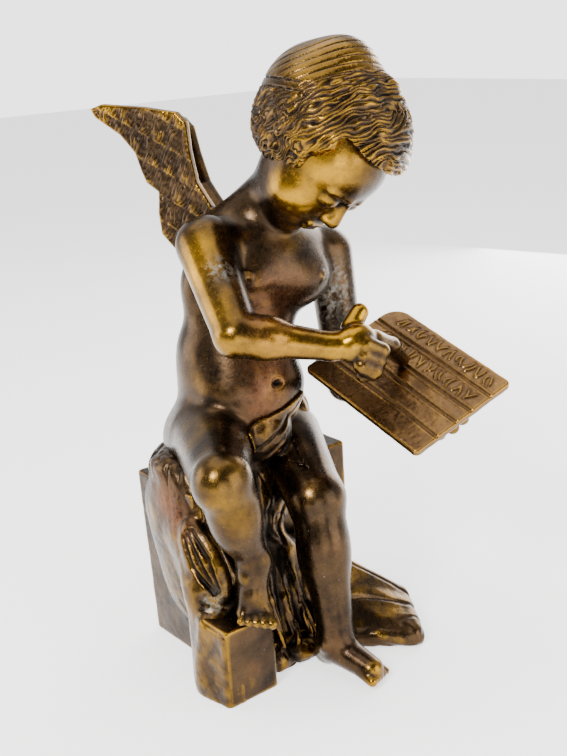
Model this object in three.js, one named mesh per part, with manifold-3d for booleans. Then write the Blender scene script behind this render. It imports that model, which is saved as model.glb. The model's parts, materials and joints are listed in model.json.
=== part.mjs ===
// Seated winged child with a writing tablet, a small cast bronze figure.
// Millimetres, +Z up. The figure looks towards -Y and its left hand is on +X.
// The origin is the middle of the seat block's underside.
import * as THREE from 'three'
import { mergeVertices } from 'three/addons/utils/BufferGeometryUtils.js'
import Module from 'manifold-3d'

// Seat block
const SEAT_WIDTH = 110
const SEAT_DEPTH = 55
const SEAT_HEIGHT = 105.6
const SEAT_FLARE = 3.6
const BLOCK_EDGE = 1.4

// Step under the figure's right foot
const STEP_WIDTH = 32.5
const STEP_DEPTH = 25
const STEP_HEIGHT = 46
const STEP_OUTSET = 18.5
const STEP_REACH = 45.4

// Low ground between the step and the left foot
const GROUND_WIDTH = 52
const GROUND_HEIGHT = 16
const GROUND_REACH = 33

// Figure, from the seat's top to the crown
const SITTING_HEIGHT = 236

// Writing tablet
const TABLET_LENGTH = 88.6
const TABLET_WIDTH = 68.9
const TABLET_THICKNESS = 4
const TABLET_EDGE = 0.7
const TABLET_CORNER = 3
const TABLET_FAR_CORNER = 11
const RULE_WIDTH = 1.3
const RULE_DEPTH = 0.6
const RULE_SHARES = [0.22, 0.42, 0.57, 0.78]
const STROKE_LENGTH = 6.5
const STROKE_WIDTH = 1.1
const STROKE_DEPTH = 0.6
const STROKE_PITCH = 7.2
const FIT_GAP = 0.35

// Wings
const WING_THICKNESS = 6.4
const FEATHER_RELIEF = 1.9
const FEATHER_LENGTH = 15
const FEATHER_WIDTH = 10

// Hair
const HAIR_RELIEF = 3
const HAIR_PITCH = 7

// Drapery
const FOLD_RADIUS = 5

// Fineness of the modelling grid and number of facets kept on the figure
const GRID_STEP = 2.2
const FIGURE_FACETS = 8300

// The joints below are drawn in shares: so many make up the sitting height and so many the seat's
const SITTING_SHARES = 236
const SEAT_SHARES = 105.6
const s = SITTING_HEIGHT / SITTING_SHARES

const wasm = await Module()
wasm.setup()

const add = (a, b) => a.map((value, i) => value + b[i])
const scaled = (a, k) => a.map((value) => value * k)
const dot = (a, b) => a[0] * b[0] + a[1] * b[1] + a[2] * b[2]
const cross = (a, b) => [
  a[1] * b[2] - a[2] * b[1],
  a[2] * b[0] - a[0] * b[2],
  a[0] * b[1] - a[1] * b[0],
]
const unit = (a) => scaled(a, 1 / Math.hypot(...a))
const mix = (a, b, t) => a.map((value, i) => value + (b[i] - value) * t)
const clamp = (value, low, high) => Math.min(high, Math.max(low, value))

// A drawn point: sideways and above the seat it scales with the figure, below with the seat
function place(x, y, z) {
  const above = Math.max(0, z - SEAT_SHARES)
  const below = Math.min(z, SEAT_SHARES)
  return [x * s, y * s, (below / SEAT_SHARES) * SEAT_HEIGHT + above * s]
}

// Middle of the step's top, which carries the right foot
const stepCentre = [
  -SEAT_WIDTH / 2 - STEP_OUTSET + STEP_WIDTH / 2,
  -SEAT_DEPTH / 2 - STEP_REACH + STEP_DEPTH / 2,
  STEP_HEIGHT,
]
const onStep = (x, y, z) => add(stepCentre, scaled([x, y, z], s))

// Tablet frame: along its length, across its width and up out of its face
const tabletCorner = place(10.8, -46.9, 167.3)
const tabletAlong = unit([0.001, -0.95, -0.313])
const tabletAcross = unit(cross(cross(tabletAlong, [0.935, -0.11, 0.338]), tabletAlong))
const tabletUp = unit(cross(tabletAlong, tabletAcross))
function onTablet(along, across, up) {
  const side = add(scaled(tabletAlong, along), scaled(tabletAcross, across))
  return add(add(tabletCorner, side), scaled(tabletUp, up))
}

// Head frame: turned, bowed and tipped to its left, in degrees
const HEAD_TURN = 0
const HEAD_BOW = 57
const HEAD_TIP = 25
const HEAD_SCALE = 0.93
const headCentre = place(28, -49, 287.5)
const [turn, bow, tip] = [HEAD_TURN, HEAD_BOW, HEAD_TIP].map(THREE.MathUtils.degToRad)
const headFront = [
  Math.sin(turn) * Math.cos(bow),
  -Math.cos(turn) * Math.cos(bow),
  -Math.sin(bow),
]
const levelSide = [-Math.cos(turn), -Math.sin(turn), 0]
const levelCrown = cross(levelSide, headFront)
const headSide = add(scaled(levelSide, Math.cos(tip)), scaled(levelCrown, Math.sin(tip)))
const headCrown = add(scaled(levelSide, -Math.sin(tip)), scaled(levelCrown, Math.cos(tip)))
const headAxes = [headSide, headCrown, headFront]
const headSize = HEAD_SCALE * s
function inHead(side, crown, front) {
  const across = add(scaled(headSide, side), scaled(headCrown, crown))
  return add(headCentre, scaled(add(across, scaled(headFront, front)), headSize))
}

// Forms: each gives its distance from a point and the box that holds it

// A limb: a rod with round ends whose radius runs from the first end to the second
function limb(a, b, startRadius, endRadius) {
  const [ra, rb] = [startRadius * s, endRadius * s]
  const axis = add(b, scaled(a, -1))
  const length = dot(axis, axis)
  const radius = Math.max(ra, rb)
  const distance = (x, y, z) => {
    const [px, py, pz] = [x - a[0], y - a[1], z - a[2]]
    const t = clamp((px * axis[0] + py * axis[1] + pz * axis[2]) / length, 0, 1)
    const away = Math.hypot(px - t * axis[0], py - t * axis[1], pz - t * axis[2])
    return away - (ra + (rb - ra) * t)
  }
  const low = a.map((value, i) => Math.min(value, b[i]) - radius)
  const high = a.map((value, i) => Math.max(value, b[i]) + radius)
  return { low, high, distance }
}

// A swelling: an ellipsoid with its three radii along the given axes
function swelling(centre, radii, axes = [[1, 0, 0], [0, 1, 0], [0, 0, 1]], size = s) {
  const r = scaled(radii, size)
  const reach = Math.max(...r)
  const distance = (x, y, z) => {
    const p = [x - centre[0], y - centre[1], z - centre[2]]
    const [a, b, c] = [dot(p, axes[0]) / r[0], dot(p, axes[1]) / r[1], dot(p, axes[2]) / r[2]]
    const inner = Math.hypot(a, b, c)
    const slope = Math.hypot(a / r[0], b / r[1], c / r[2])
    return (inner * (inner - 1)) / Math.max(slope, 1e-6)
  }
  const low = centre.map((value) => value - reach)
  const high = centre.map((value) => value + reach)
  return { low, high, distance }
}

// Wing outline in its own plane: back from the spine, and height, drawn root to tip and back
const WING_OUTLINE = [
  [0, 226], [18, 222], [30, 228], [38, 236], [39.5, 248], [38.5, 260], [46, 265],
  [49, 272], [52, 282], [61, 292], [77, 302], [80, 307], [72, 309.5], [44, 307.5],
  [23, 304.5], [17, 299], [16, 283], [13, 266], [4, 252], [-6, 246],
]

// Distance to a closed outline, negative inside it
function outlineDistance(px, py, points) {
  let nearest = Infinity
  let inside = false
  for (let i = 0; i < points.length; i++) {
    const [ax, ay] = points[i]
    const [bx, by] = points[(i + 1) % points.length]
    const [ex, ey, wx, wy] = [bx - ax, by - ay, px - ax, py - ay]
    const t = clamp((wx * ex + wy * ey) / (ex * ex + ey * ey), 0, 1)
    nearest = Math.min(nearest, Math.hypot(wx - ex * t, wy - ey * t))
    if (ay > py !== by > py && px < ax + (ex * wy) / ey) {
      inside = !inside
    }
  }
  return inside ? -nearest : nearest
}

// Rows of feathers: each row laps the one below, and its feathers stand between theirs
function featherRelief(back, height) {
  const row = Math.floor((height - 0.5 * back) / FEATHER_LENGTH)
  const along = (height - 0.5 * back) / FEATHER_LENGTH - row
  const across = Math.abs(Math.sin(Math.PI * (back / FEATHER_WIDTH + 0.5 * (row % 2))))
  return FEATHER_RELIEF * (0.5 * across - along)
}

// A wing: the outline as a plate that thickens to its root, swept back and let down
function wing(root, heading, sweep, drop) {
  const [hx, hy] = unit([...heading, 0])
  const distance = (x, y, z) => {
    const [px, py, pz] = [x / s - root[0], y / s - root[1], (z - SEAT_HEIGHT) / s + SEAT_SHARES]
    const rise = clamp((pz - 235) / 62, 0, 1.2)
    const back = px * hx + py * hy - sweep * rise
    const height = pz + drop * rise
    const thicker = 1 + 0.6 * clamp((255 - pz) / 30, 0, 1)
    const half = (WING_THICKNESS / 2) * thicker + featherRelief(back, height)
    const face = Math.abs(px * hy - py * hx) - half
    const edge = outlineDistance(back, height, WING_OUTLINE)
    const outside = Math.hypot(Math.max(edge, 0), Math.max(face, 0))
    return (outside + Math.min(Math.max(edge, face), 0)) * s
  }
  return { low: place(-42, -5, 212), high: place(24, 98, 316), distance }
}

// Hair lies in locks that run up from each side and cross over the crown
function hairLocks(form) {
  const distance = (x, y, z) => {
    const p = scaled(add([x, y, z], scaled(headCentre, -1)), 1 / headSize)
    const [side, crown, front] = headAxes.map((axis) => dot(p, axis))
    const strand = front - 0.1 * crown + 1.3 * Math.sin(crown / 5)
    const groove = 1 - Math.abs(Math.sin((Math.PI * strand) / HAIR_PITCH))
    const brow = Math.min(front - 14.5 + 1.5 * Math.sin(crown / 3), 31 - crown)
    const nape = 0.42 * Math.min(front, 0) - 23 - crown
    const base = form.distance(x, y, z) + HAIR_RELIEF * headSize * groove * groove
    return Math.max(base, Math.max(brow, nape) * headSize)
  }
  return { ...form, distance }
}

// Layers: forms in one layer melt into each other, and the layers are joined in turn
const layers = { body: [], hands: [], hair: [], wings: [], cloth: [] }
const put = (layer, form, blend) => layers[layer].push({ form, blend: blend * s, sign: 1 })
const hollow = (layer, form, blend) => layers[layer].push({ form, blend: blend * s, sign: -1 })

function makeTrunk() {
  put('body', limb(place(-9, 1, 130), place(-5, -4, 170), 31, 29), 8)
  put('body', swelling(place(-4, -16, 153), [33, 26, 27]), 10)
  put('body', limb(place(-4, -4, 170), place(10, -13, 214), 28, 25), 10)
  put('body', swelling(place(13, -17, 221), [34, 23, 26]), 10)
  put('body', limb(place(-22, -14, 238), place(48, -16, 224), 13, 12.5), 12)
  put('body', swelling(place(-4, -28, 216), [15, 10, 12]), 8)
  put('body', swelling(place(26, -31.5, 212), [17, 9, 13]), 9)
  put('body', swelling(place(-10, 3, 166), [24, 22, 36]), 10)
  put('body', swelling(place(-7, 4, 210), [23, 18, 26]), 10)
  put('body', limb(place(-10, 2, 240), place(15, -14, 257), 11, 11), 8)
  put('body', limb(place(8, -10.5, 240), place(21, -29.5, 268), 17.3, 16.8), 9)
  put('body', swelling(place(-24, 5, 123), [24, 25, 22]), 8)
  put('body', swelling(place(14, 4, 118), [22, 24, 20]), 8)
}

function makeRightLeg() {
  const hip = place(-29, -10, 128)
  const knee = place(-62, -63, 128)
  const ankle = onStep(9.5, -6.6, 31)
  const instep = onStep(6, -9, 14)
  const ball = [onStep(8, -14.6, 5.5), onStep(-1, -9.6, 5.5)]
  put('body', limb(hip, knee, 23.5, 15.5), 7)
  put('body', limb(add(knee, [0, -1, -5]), ankle, 14.5, 8.4), 5)
  put('body', swelling(mix(knee, ankle, 0.42), [14, 14, 21]), 6)
  put('body', limb(ankle, onStep(10, 1.4, 9), 8.4, 8), 4)
  put('body', limb(ankle, instep, 8.4, 7.5), 4)
  put('body', limb(instep, ball[0], 7, 5.2), 3)
  put('body', limb(instep, ball[1], 6.5, 4.6), 3)
  toes(ball, [onStep(6, -22.6, 0.5), onStep(-5, -13.6, 4)])
}

// Five toes in a row from the ball of the foot, the first one the largest
function toes(ball, tips) {
  const count = 5
  for (let i = 0; i < count; i++) {
    const share = i / (count - 1)
    const radius = 3.4 - 0.9 * share
    put('hands', limb(mix(...ball, share), mix(...tips, share), radius + 0.6, radius), 1.5)
  }
}

function makeLeftLeg() {
  const hip = place(20, -14, 114)
  const knee = place(3, -60, 96)
  const ankle = place(-5, -82, 22)
  put('body', limb(hip, knee, 22, 16), 7)
  put('body', limb(add(knee, [0, -1, -2]), ankle, 15.5, 10), 6)
  put('body', swelling(mix(knee, ankle, 0.4), [14.5, 14.5, 24]), 6)
  put('body', limb(place(-5, -80, 20), place(-5, -74, 7.5), 10, 8), 4)
  put('body', limb(place(-5, -82, 13), place(-1.5, -106, 8), 9.5, 7), 5)
  toes([place(-5.5, -103, 7), place(4.5, -102, 6)], [place(-6.5, -112, 5), place(7, -108.5, 4)])
}

const rightWrist = place(-5, -88, 191)
const leftElbow = place(50, -37, 146)
const leftWrist = place(43, -84, 153.5)

function makeArms() {
  const rightElbow = place(-42.5, -58.5, 200)
  put('body', limb(place(-28.5, -15, 238.5), rightElbow, 14.8, 12), 7)
  put('body', limb(rightElbow, rightWrist, 11, 7.4), 4)
  put('body', limb(place(55, -21, 221), leftElbow, 13.5, 11), 7)
  put('body', limb(leftElbow, leftWrist, 10, 7.4), 3)
}

// Right hand: a loose fist with the thumb up and the forefinger on the tablet's face
function makeRightHand() {
  const tipRadius = 3.6
  const touch = onTablet(0.43 * TABLET_LENGTH, 0.56 * TABLET_WIDTH, FIT_GAP + tipRadius * s)
  put('hands', limb(rightWrist, place(3, -92.5, 191), 7.4, 8.5), 2)
  put('hands', swelling(place(7, -95, 191), [10.5, 9, 11]), 3)
  put('hands', limb(place(9, -88, 198), place(15.5, -88, 205), 5.4, 4.6), 2)
  put('hands', limb(place(17, -96, 191), place(31, -94, 184), 5.6, 4.8), 2)
  put('hands', limb(place(31, -94, 184), touch, 4.8, tipRadius), 2)
  for (let i = 0; i < 3; i++) {
    const knuckle = place(6.5 - 1.2 * i, -101, 192 - 5.2 * i)
    const middle = place(14.5 - 2.5 * i, -104, 187 - 4.6 * i)
    const tip = place(11.5 - 2.2 * i, -98, 182 - 3.6 * i)
    put('hands', limb(knuckle, middle, 5, 4.5), 1.5)
    put('hands', limb(middle, tip, 4.5, 4), 1.5)
  }
}

// Left hand: the palm lies under the tablet and the fingers end near its far edge
function makeLeftHand() {
  const under = (along, across, radius) =>
    onTablet(along, across, -TABLET_THICKNESS - FIT_GAP - radius * s)
  const palm = under(0.7 * TABLET_LENGTH, 0.42 * TABLET_WIDTH, 6.2)
  const heel = under(0.59 * TABLET_LENGTH, 0.42 * TABLET_WIDTH, 8)
  put('hands', limb(leftWrist, heel, 7.4, 7.6), 2)
  put('hands', swelling(palm, [13, 13, 6.2], [tabletAcross, tabletAlong, tabletUp]), 3)
  const reach = [6.6, 4.8, 5.6, 8.2]
  const spread = [0.32, 0.435, 0.55, 0.82]
  for (let i = 0; i < reach.length; i++) {
    const across = spread[i] * TABLET_WIDTH
    const root = under(TABLET_LENGTH - 24.6, 0.38 * TABLET_WIDTH + 5 * i * s, 4.6)
    const middle = under(TABLET_LENGTH - 12.6, across + 1, 4.3)
    put('hands', limb(root, middle, 4.5, 4.3), 1.5)
    put('hands', limb(middle, under(TABLET_LENGTH - reach[i], across, 3.8), 4.3, 3.8), 1.5)
  }
}

// A child's head on plain schoolbook proportions: round skull, full cheeks, small features
function makeHead() {
  const form = (centre, radii) => swelling(inHead(...centre), radii, headAxes, headSize)
  const line = (a, b, ra, rb) => limb(inHead(...a), inHead(...b), ra * HEAD_SCALE, rb * HEAD_SCALE)
  put('body', form([0, 9, -5], [35, 35, 42]), 6)
  put('body', form([0, -12, 11], [28, 32, 29]), 8)
  put('body', form([0, -35, 24], [10, 9, 10]), 7)
  put('body', form([0, 8, 20], [28, 20, 18]), 8)
  for (const side of [1, -1]) {
    put('body', form([13 * side, -19, 20], [14, 14, 14]), 8)
    hollow('body', form([12.5 * side, -3, 41.5], [9, 5.5, 6]), 4)
    put('body', form([12.5 * side, -4, 33.5], [8, 5.5, 6]), 1.5)
    put('body', form([4 * side, -14.5, 40], [3.2, 3, 3.5]), 2)
  }
  put('body', line([0, -2, 38], [0, -13, 43], 2.6, 4.2), 3)
  put('body', line([-6, -23.5, 38], [6, -23.5, 38], 2.6, 2.6), 2)
  put('body', line([-4.5, -27.5, 37], [4.5, -27.5, 37], 2.8, 2.8), 2)
}

function makeHair() {
  const mass = (centre, radii) => hairLocks(swelling(inHead(...centre), radii, headAxes, headSize))
  put('hair', mass([0.5, 10.5, -9], [41.5, 39.5, 45]), 2)
  put('hair', mass([-4, 19, 12], [36, 27, 28]), 12)
  put('hair', mass([6, 33, -28], [19, 16, 15]), 10)
  put('hair', mass([7, -12, -14], [26, 18, 23]), 8)
  put('hair', limb(inHead(-3, 46.5, -6), inHead(-5, 42.5, 14), 4, 5), 12)
  for (let i = 0; i < 4; i++) {
    const curl = inHead(-19 + 11.4 * i, 33 - 1.5 * Math.abs(i - 1.5), 25 - 1.7 * (i - 2) ** 2)
    put('hair', swelling(curl, [7.5, 6, 6], headAxes, headSize), 2)
  }
}

function makeWings() {
  put('wings', wing([2, 10], [-0.42, 0.907], 0, 0), 2)
  put('wings', wing([10.5, 11], [-0.1, 0.995], 14, 5), 2)
}

// Drapery: spread on the seat, over the lap, down past the step and out along the ground
function makeDrapery() {
  const front = -SEAT_DEPTH / 2
  put('cloth', swelling(place(-22, 2, 112), [38, 32, 13]), 5)
  put('cloth', swelling(place(14, -8, 110), [34, 28, 12]), 5)
  put('cloth', swelling(place(24, -6, 128), [17, 20, 18]), 5)
  put('cloth', swelling(place(-9, -31, 130), [18, 14, 16]), 5)
  put('cloth', swelling(place(-16, -29, 88), [26, 10, 26]), 6)
  const side = -SEAT_WIDTH / 2 + 1.5 * s
  put('cloth', swelling([side, -3 * s, 0.815 * SEAT_HEIGHT], [8.5, 30, 32]), 6)
  put('cloth', swelling([side, -10 * s, 0.55 * SEAT_HEIGHT], [8.5, 27, 38]), 8)
  const corner = [stepCentre[0] + 1.2, front - 9 * s, 0.5 * SEAT_HEIGHT]
  put('cloth', limb(onStep(-2.5, 12.3, -40), corner, 17, 14), 8)
  put('cloth', limb(corner, [-SEAT_WIDTH / 2 + 3 * s, front + 10 * s, 0.74 * SEAT_HEIGHT], 14, 12), 8)
  for (const [x, top, foot] of [[-22, 60, 18], [-7, 56, 14], [14, 50, 12]]) {
    put('cloth', limb(place(x, -34, top), place(x - 2, -42, foot), 12, 14), 8)
  }
  put('cloth', limb(place(-34, -57, 4), place(-2, -60, 4), 8, 8), 5)
  const rods = 6
  for (let i = 0; i < rods; i++) {
    const share = i / (rods - 1)
    const start = mix(place(16, -40, 46), place(6, -58, 7), share)
    const end = mix(place(60, -66, 12), place(43, -95, 5), share)
    const rise = place(0, 0, 0.7 * (-1) ** i)
    put('cloth', limb(start, add(end, rise), 8.8, 6.4), 2.5)
  }
  put('cloth', limb(place(58.5, -67, 9), place(44, -93, 6), 6, 5.5), 4)
}

// A leaf-shaped fold over the seat's side, scored along its length
const LEAF_TOP = [-61, -25, 90]
const LEAF_END = [-59, -53, 53]
const LEAF_OUTWARD = [-0.85, -0.5, 0.1]
const LEAF_RADII = [25, 12, 7]
const SCORE_SPREAD = 5.5

function makeLeafFold() {
  const [top, end] = [place(...LEAF_TOP), place(...LEAF_END)]
  const along = unit(add(end, scaled(top, -1)))
  const across = unit(cross(along, LEAF_OUTWARD))
  const outward = cross(across, along)
  put('cloth', swelling(mix(top, end, 0.5), LEAF_RADII, [along, across, outward]), 3)
  for (const shift of [-SCORE_SPREAD, 0, SCORE_SPREAD]) {
    const score = (share, wide, lift) => {
      const aside = add(scaled(across, wide * shift * s), scaled(outward, lift * s))
      return add(mix(top, end, share), aside)
    }
    const middle = score(0.5, 1, LEAF_RADII[2] - 0.1 * Math.abs(shift))
    hollow('cloth', limb(score(0.12, 0.5, 0.7 * LEAF_RADII[2]), middle, 1.2, 1.7), 1.5)
    hollow('cloth', limb(middle, score(0.9, 0.3, 0.6 * LEAF_RADII[2]), 1.7, 1.2), 1.5)
  }
}

// Folds: ridges that fan down the drapery, each a bent pair of rods
function makeFolds() {
  const ridge = (a, b, c, radius) => {
    put('cloth', limb(a, b, radius, radius), 3)
    put('cloth', limb(b, c, radius, 0.7 * radius), 3)
  }
  for (let i = 0; i < 5; i++) {
    const start = place(-35 + 9 * i, -39, 68 - 3 * i)
    const middle = place(-37 + 10 * i, -51, 42 - 3 * i)
    const end = place(-38 + 11 * i, -61, 14)
    ridge(start, middle, end, 0.75 * FOLD_RADIUS)
  }
  ridge(place(15, -37.5, 149), place(-6, -44, 138), place(-26, -43, 136), 0.5 * FOLD_RADIUS)
  for (let i = 0; i < 4; i++) {
    const middle = place(5 - 8 * i, -42.5, 130 + 1.5 * i)
    const hem = place(2 - 8.5 * i, -41, 118 + 3 * i)
    ridge(place(15, -37, 147), middle, hem, 0.6 * FOLD_RADIUS)
  }
}

makeTrunk()
makeRightLeg()
makeLeftLeg()
makeArms()
makeRightHand()
makeLeftHand()
makeHead()
makeHair()
makeWings()
makeDrapery()
makeLeafFold()
makeFolds()

// Two distances joined with a soft fillet of the given width
function meltTogether(a, b, width) {
  const near = Math.max(width - Math.abs(a - b), 0)
  return Math.min(a, b) - (near * near) / (4 * Math.max(width, 1e-6))
}

// The box of the whole sculpture, with room for the surface to close
function sculptureBox() {
  const forms = Object.values(layers).flat().map((entry) => entry.form)
  const room = 4 * GRID_STEP
  const low = [0, 1, 2].map((i) => Math.min(...forms.map((form) => form.low[i])) - room)
  const high = [0, 1, 2].map((i) => Math.max(...forms.map((form) => form.high[i])) + room)
  low[2] = Math.max(low[2], -room)
  return { low, high }
}

// All forms written into one grid of distances
function fillGrid() {
  const { low, high } = sculptureBox()
  const counts = low.map((value, i) => Math.ceil((high[i] - value) / GRID_STEP) + 1)
  const [nx, ny, nz] = counts
  const far = 1000
  const grid = new Float32Array(nx * ny * nz).fill(far)
  const index = (value, i) => clamp(Math.round((value - low[i]) / GRID_STEP), 0, counts[i] - 1)
  const layerBlend = { body: 0, hands: 1.5, hair: 1.5, wings: 3, cloth: 3 }
  for (const [name, entries] of Object.entries(layers)) {
    const layer = new Float32Array(grid.length).fill(far)
    for (const { form, blend, sign } of entries) {
      const pad = blend + 3 * GRID_STEP
      const from = form.low.map((value, i) => index(value - pad, i))
      const to = form.high.map((value, i) => index(value + pad, i))
      for (let k = from[2]; k <= to[2]; k++) {
        for (let j = from[1]; j <= to[1]; j++) {
          for (let i = from[0]; i <= to[0]; i++) {
            const cell = i + nx * (j + ny * k)
            const x = low[0] + i * GRID_STEP
            const y = low[1] + j * GRID_STEP
            const z = low[2] + k * GRID_STEP
            const value = form.distance(x, y, z)
            layer[cell] = sign * meltTogether(sign * layer[cell], value, blend)
          }
        }
      }
    }
    for (let cell = 0; cell < grid.length; cell++) {
      grid[cell] = meltTogether(grid[cell], layer[cell], layerBlend[name] * s)
    }
  }
  grid.fill(far, 0, 2 * nx * ny)
  return { grid, counts, low }
}

// Corners that touch only across a diagonal are filled, so that the skin never pinches
function mendDiagonals({ grid, counts }) {
  const [nx, ny] = counts
  const steps = [1, nx, nx * ny]
  const corner = steps[0] + steps[1] + steps[2]
  const cubeDiagonals = steps.map((step) => [step, corner - step])
  cubeDiagonals.push([0, corner])
  const filled = -1e-3
  const isInside = (cell) => grid[cell] < 0
  let changed = true
  while (changed) {
    changed = false
    for (let cell = 0; cell < grid.length - corner; cell++) {
      for (let a = 0; a < 3; a++) {
        const [p, q] = [steps[(a + 1) % 3], steps[(a + 2) % 3]]
        const here = isInside(cell)
        const next = isInside(cell + p)
        if (here !== next && isInside(cell + q) === next && isInside(cell + p + q) === here) {
          grid[here ? cell + p : cell] = filled
          changed = true
        }
      }
      for (const [p, q] of cubeDiagonals) {
        const here = isInside(cell + p)
        if (isInside(cell + q) !== here || isInside(cell + (p ? 0 : 1)) === here) {
          continue
        }
        const others = cubeDiagonals.filter((pair) => pair[0] !== p).flat()
        if (others.every((offset) => isInside(cell + offset) !== here)) {
          grid[cell + (here ? others[0] : p)] = filled
          changed = true
        }
      }
    }
  }
}

// One skin point in each grid cell that the surface crosses, and a quad over each crossed edge
function skin({ grid, counts, low }) {
  const [nx, ny, nz] = counts
  const steps = [1, nx, nx * ny]
  const pointOf = new Int32Array(grid.length).fill(-1)
  const points = []
  for (let k = 0; k < nz - 1; k++) {
    for (let j = 0; j < ny - 1; j++) {
      for (let i = 0; i < nx - 1; i++) {
        const cell = i + nx * (j + ny * k)
        let crossings = 0
        const sum = [0, 0, 0]
        for (let a = 0; a < 3; a++) {
          const [b, c] = [(a + 1) % 3, (a + 2) % 3]
          for (let side = 0; side < 4; side++) {
            const [u, w] = [side & 1, side >> 1]
            const start = cell + u * steps[b] + w * steps[c]
            const [near, beyond] = [grid[start], grid[start + steps[a]]]
            if (near < 0 !== beyond < 0) {
              sum[a] += near / (near - beyond)
              sum[b] += u
              sum[c] += w
              crossings += 1
            }
          }
        }
        if (crossings > 0) {
          pointOf[cell] = points.length / 3
          const at = [i, j, k].map((n, a) => low[a] + (n + sum[a] / crossings) * GRID_STEP)
          points.push(...at)
        }
      }
    }
  }
  const faces = []
  for (let cell = steps[2] + steps[1] + 1; cell < grid.length - steps[2]; cell++) {
    for (let a = 0; a < 3; a++) {
      const inside = grid[cell] < 0
      if (inside !== grid[cell + steps[a]] < 0) {
        const [p, q] = [steps[(a + 1) % 3], steps[(a + 2) % 3]]
        const quad = [cell - p - q, cell - q, cell, cell - p].map((n) => pointOf[n])
        if (!inside) {
          quad.reverse()
        }
        faces.push(quad[0], quad[1], quad[2], quad[0], quad[2], quad[3])
      }
    }
  }
  return { points, faces }
}

// A heap that gives back the entry with the lowest cost
function makeHeap() {
  const items = []
  const push = (item) => {
    let i = items.length
    items.push(item)
    while (i > 0) {
      const parent = (i - 1) >> 1
      if (items[parent].cost <= item.cost) {
        break
      }
      items[i] = items[parent]
      i = parent
    }
    items[i] = item
  }
  const pop = () => {
    const top = items[0]
    const last = items.pop()
    const size = items.length
    if (size > 0) {
      let i = 0
      for (let child = 1; child < size; child = 2 * i + 1) {
        if (child + 1 < size && items[child + 1].cost < items[child].cost) {
          child += 1
        }
        if (items[child].cost >= last.cost) {
          break
        }
        items[i] = items[child]
        i = child
      }
      items[i] = last
    }
    return top
  }
  return { items, push, pop }
}

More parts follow.
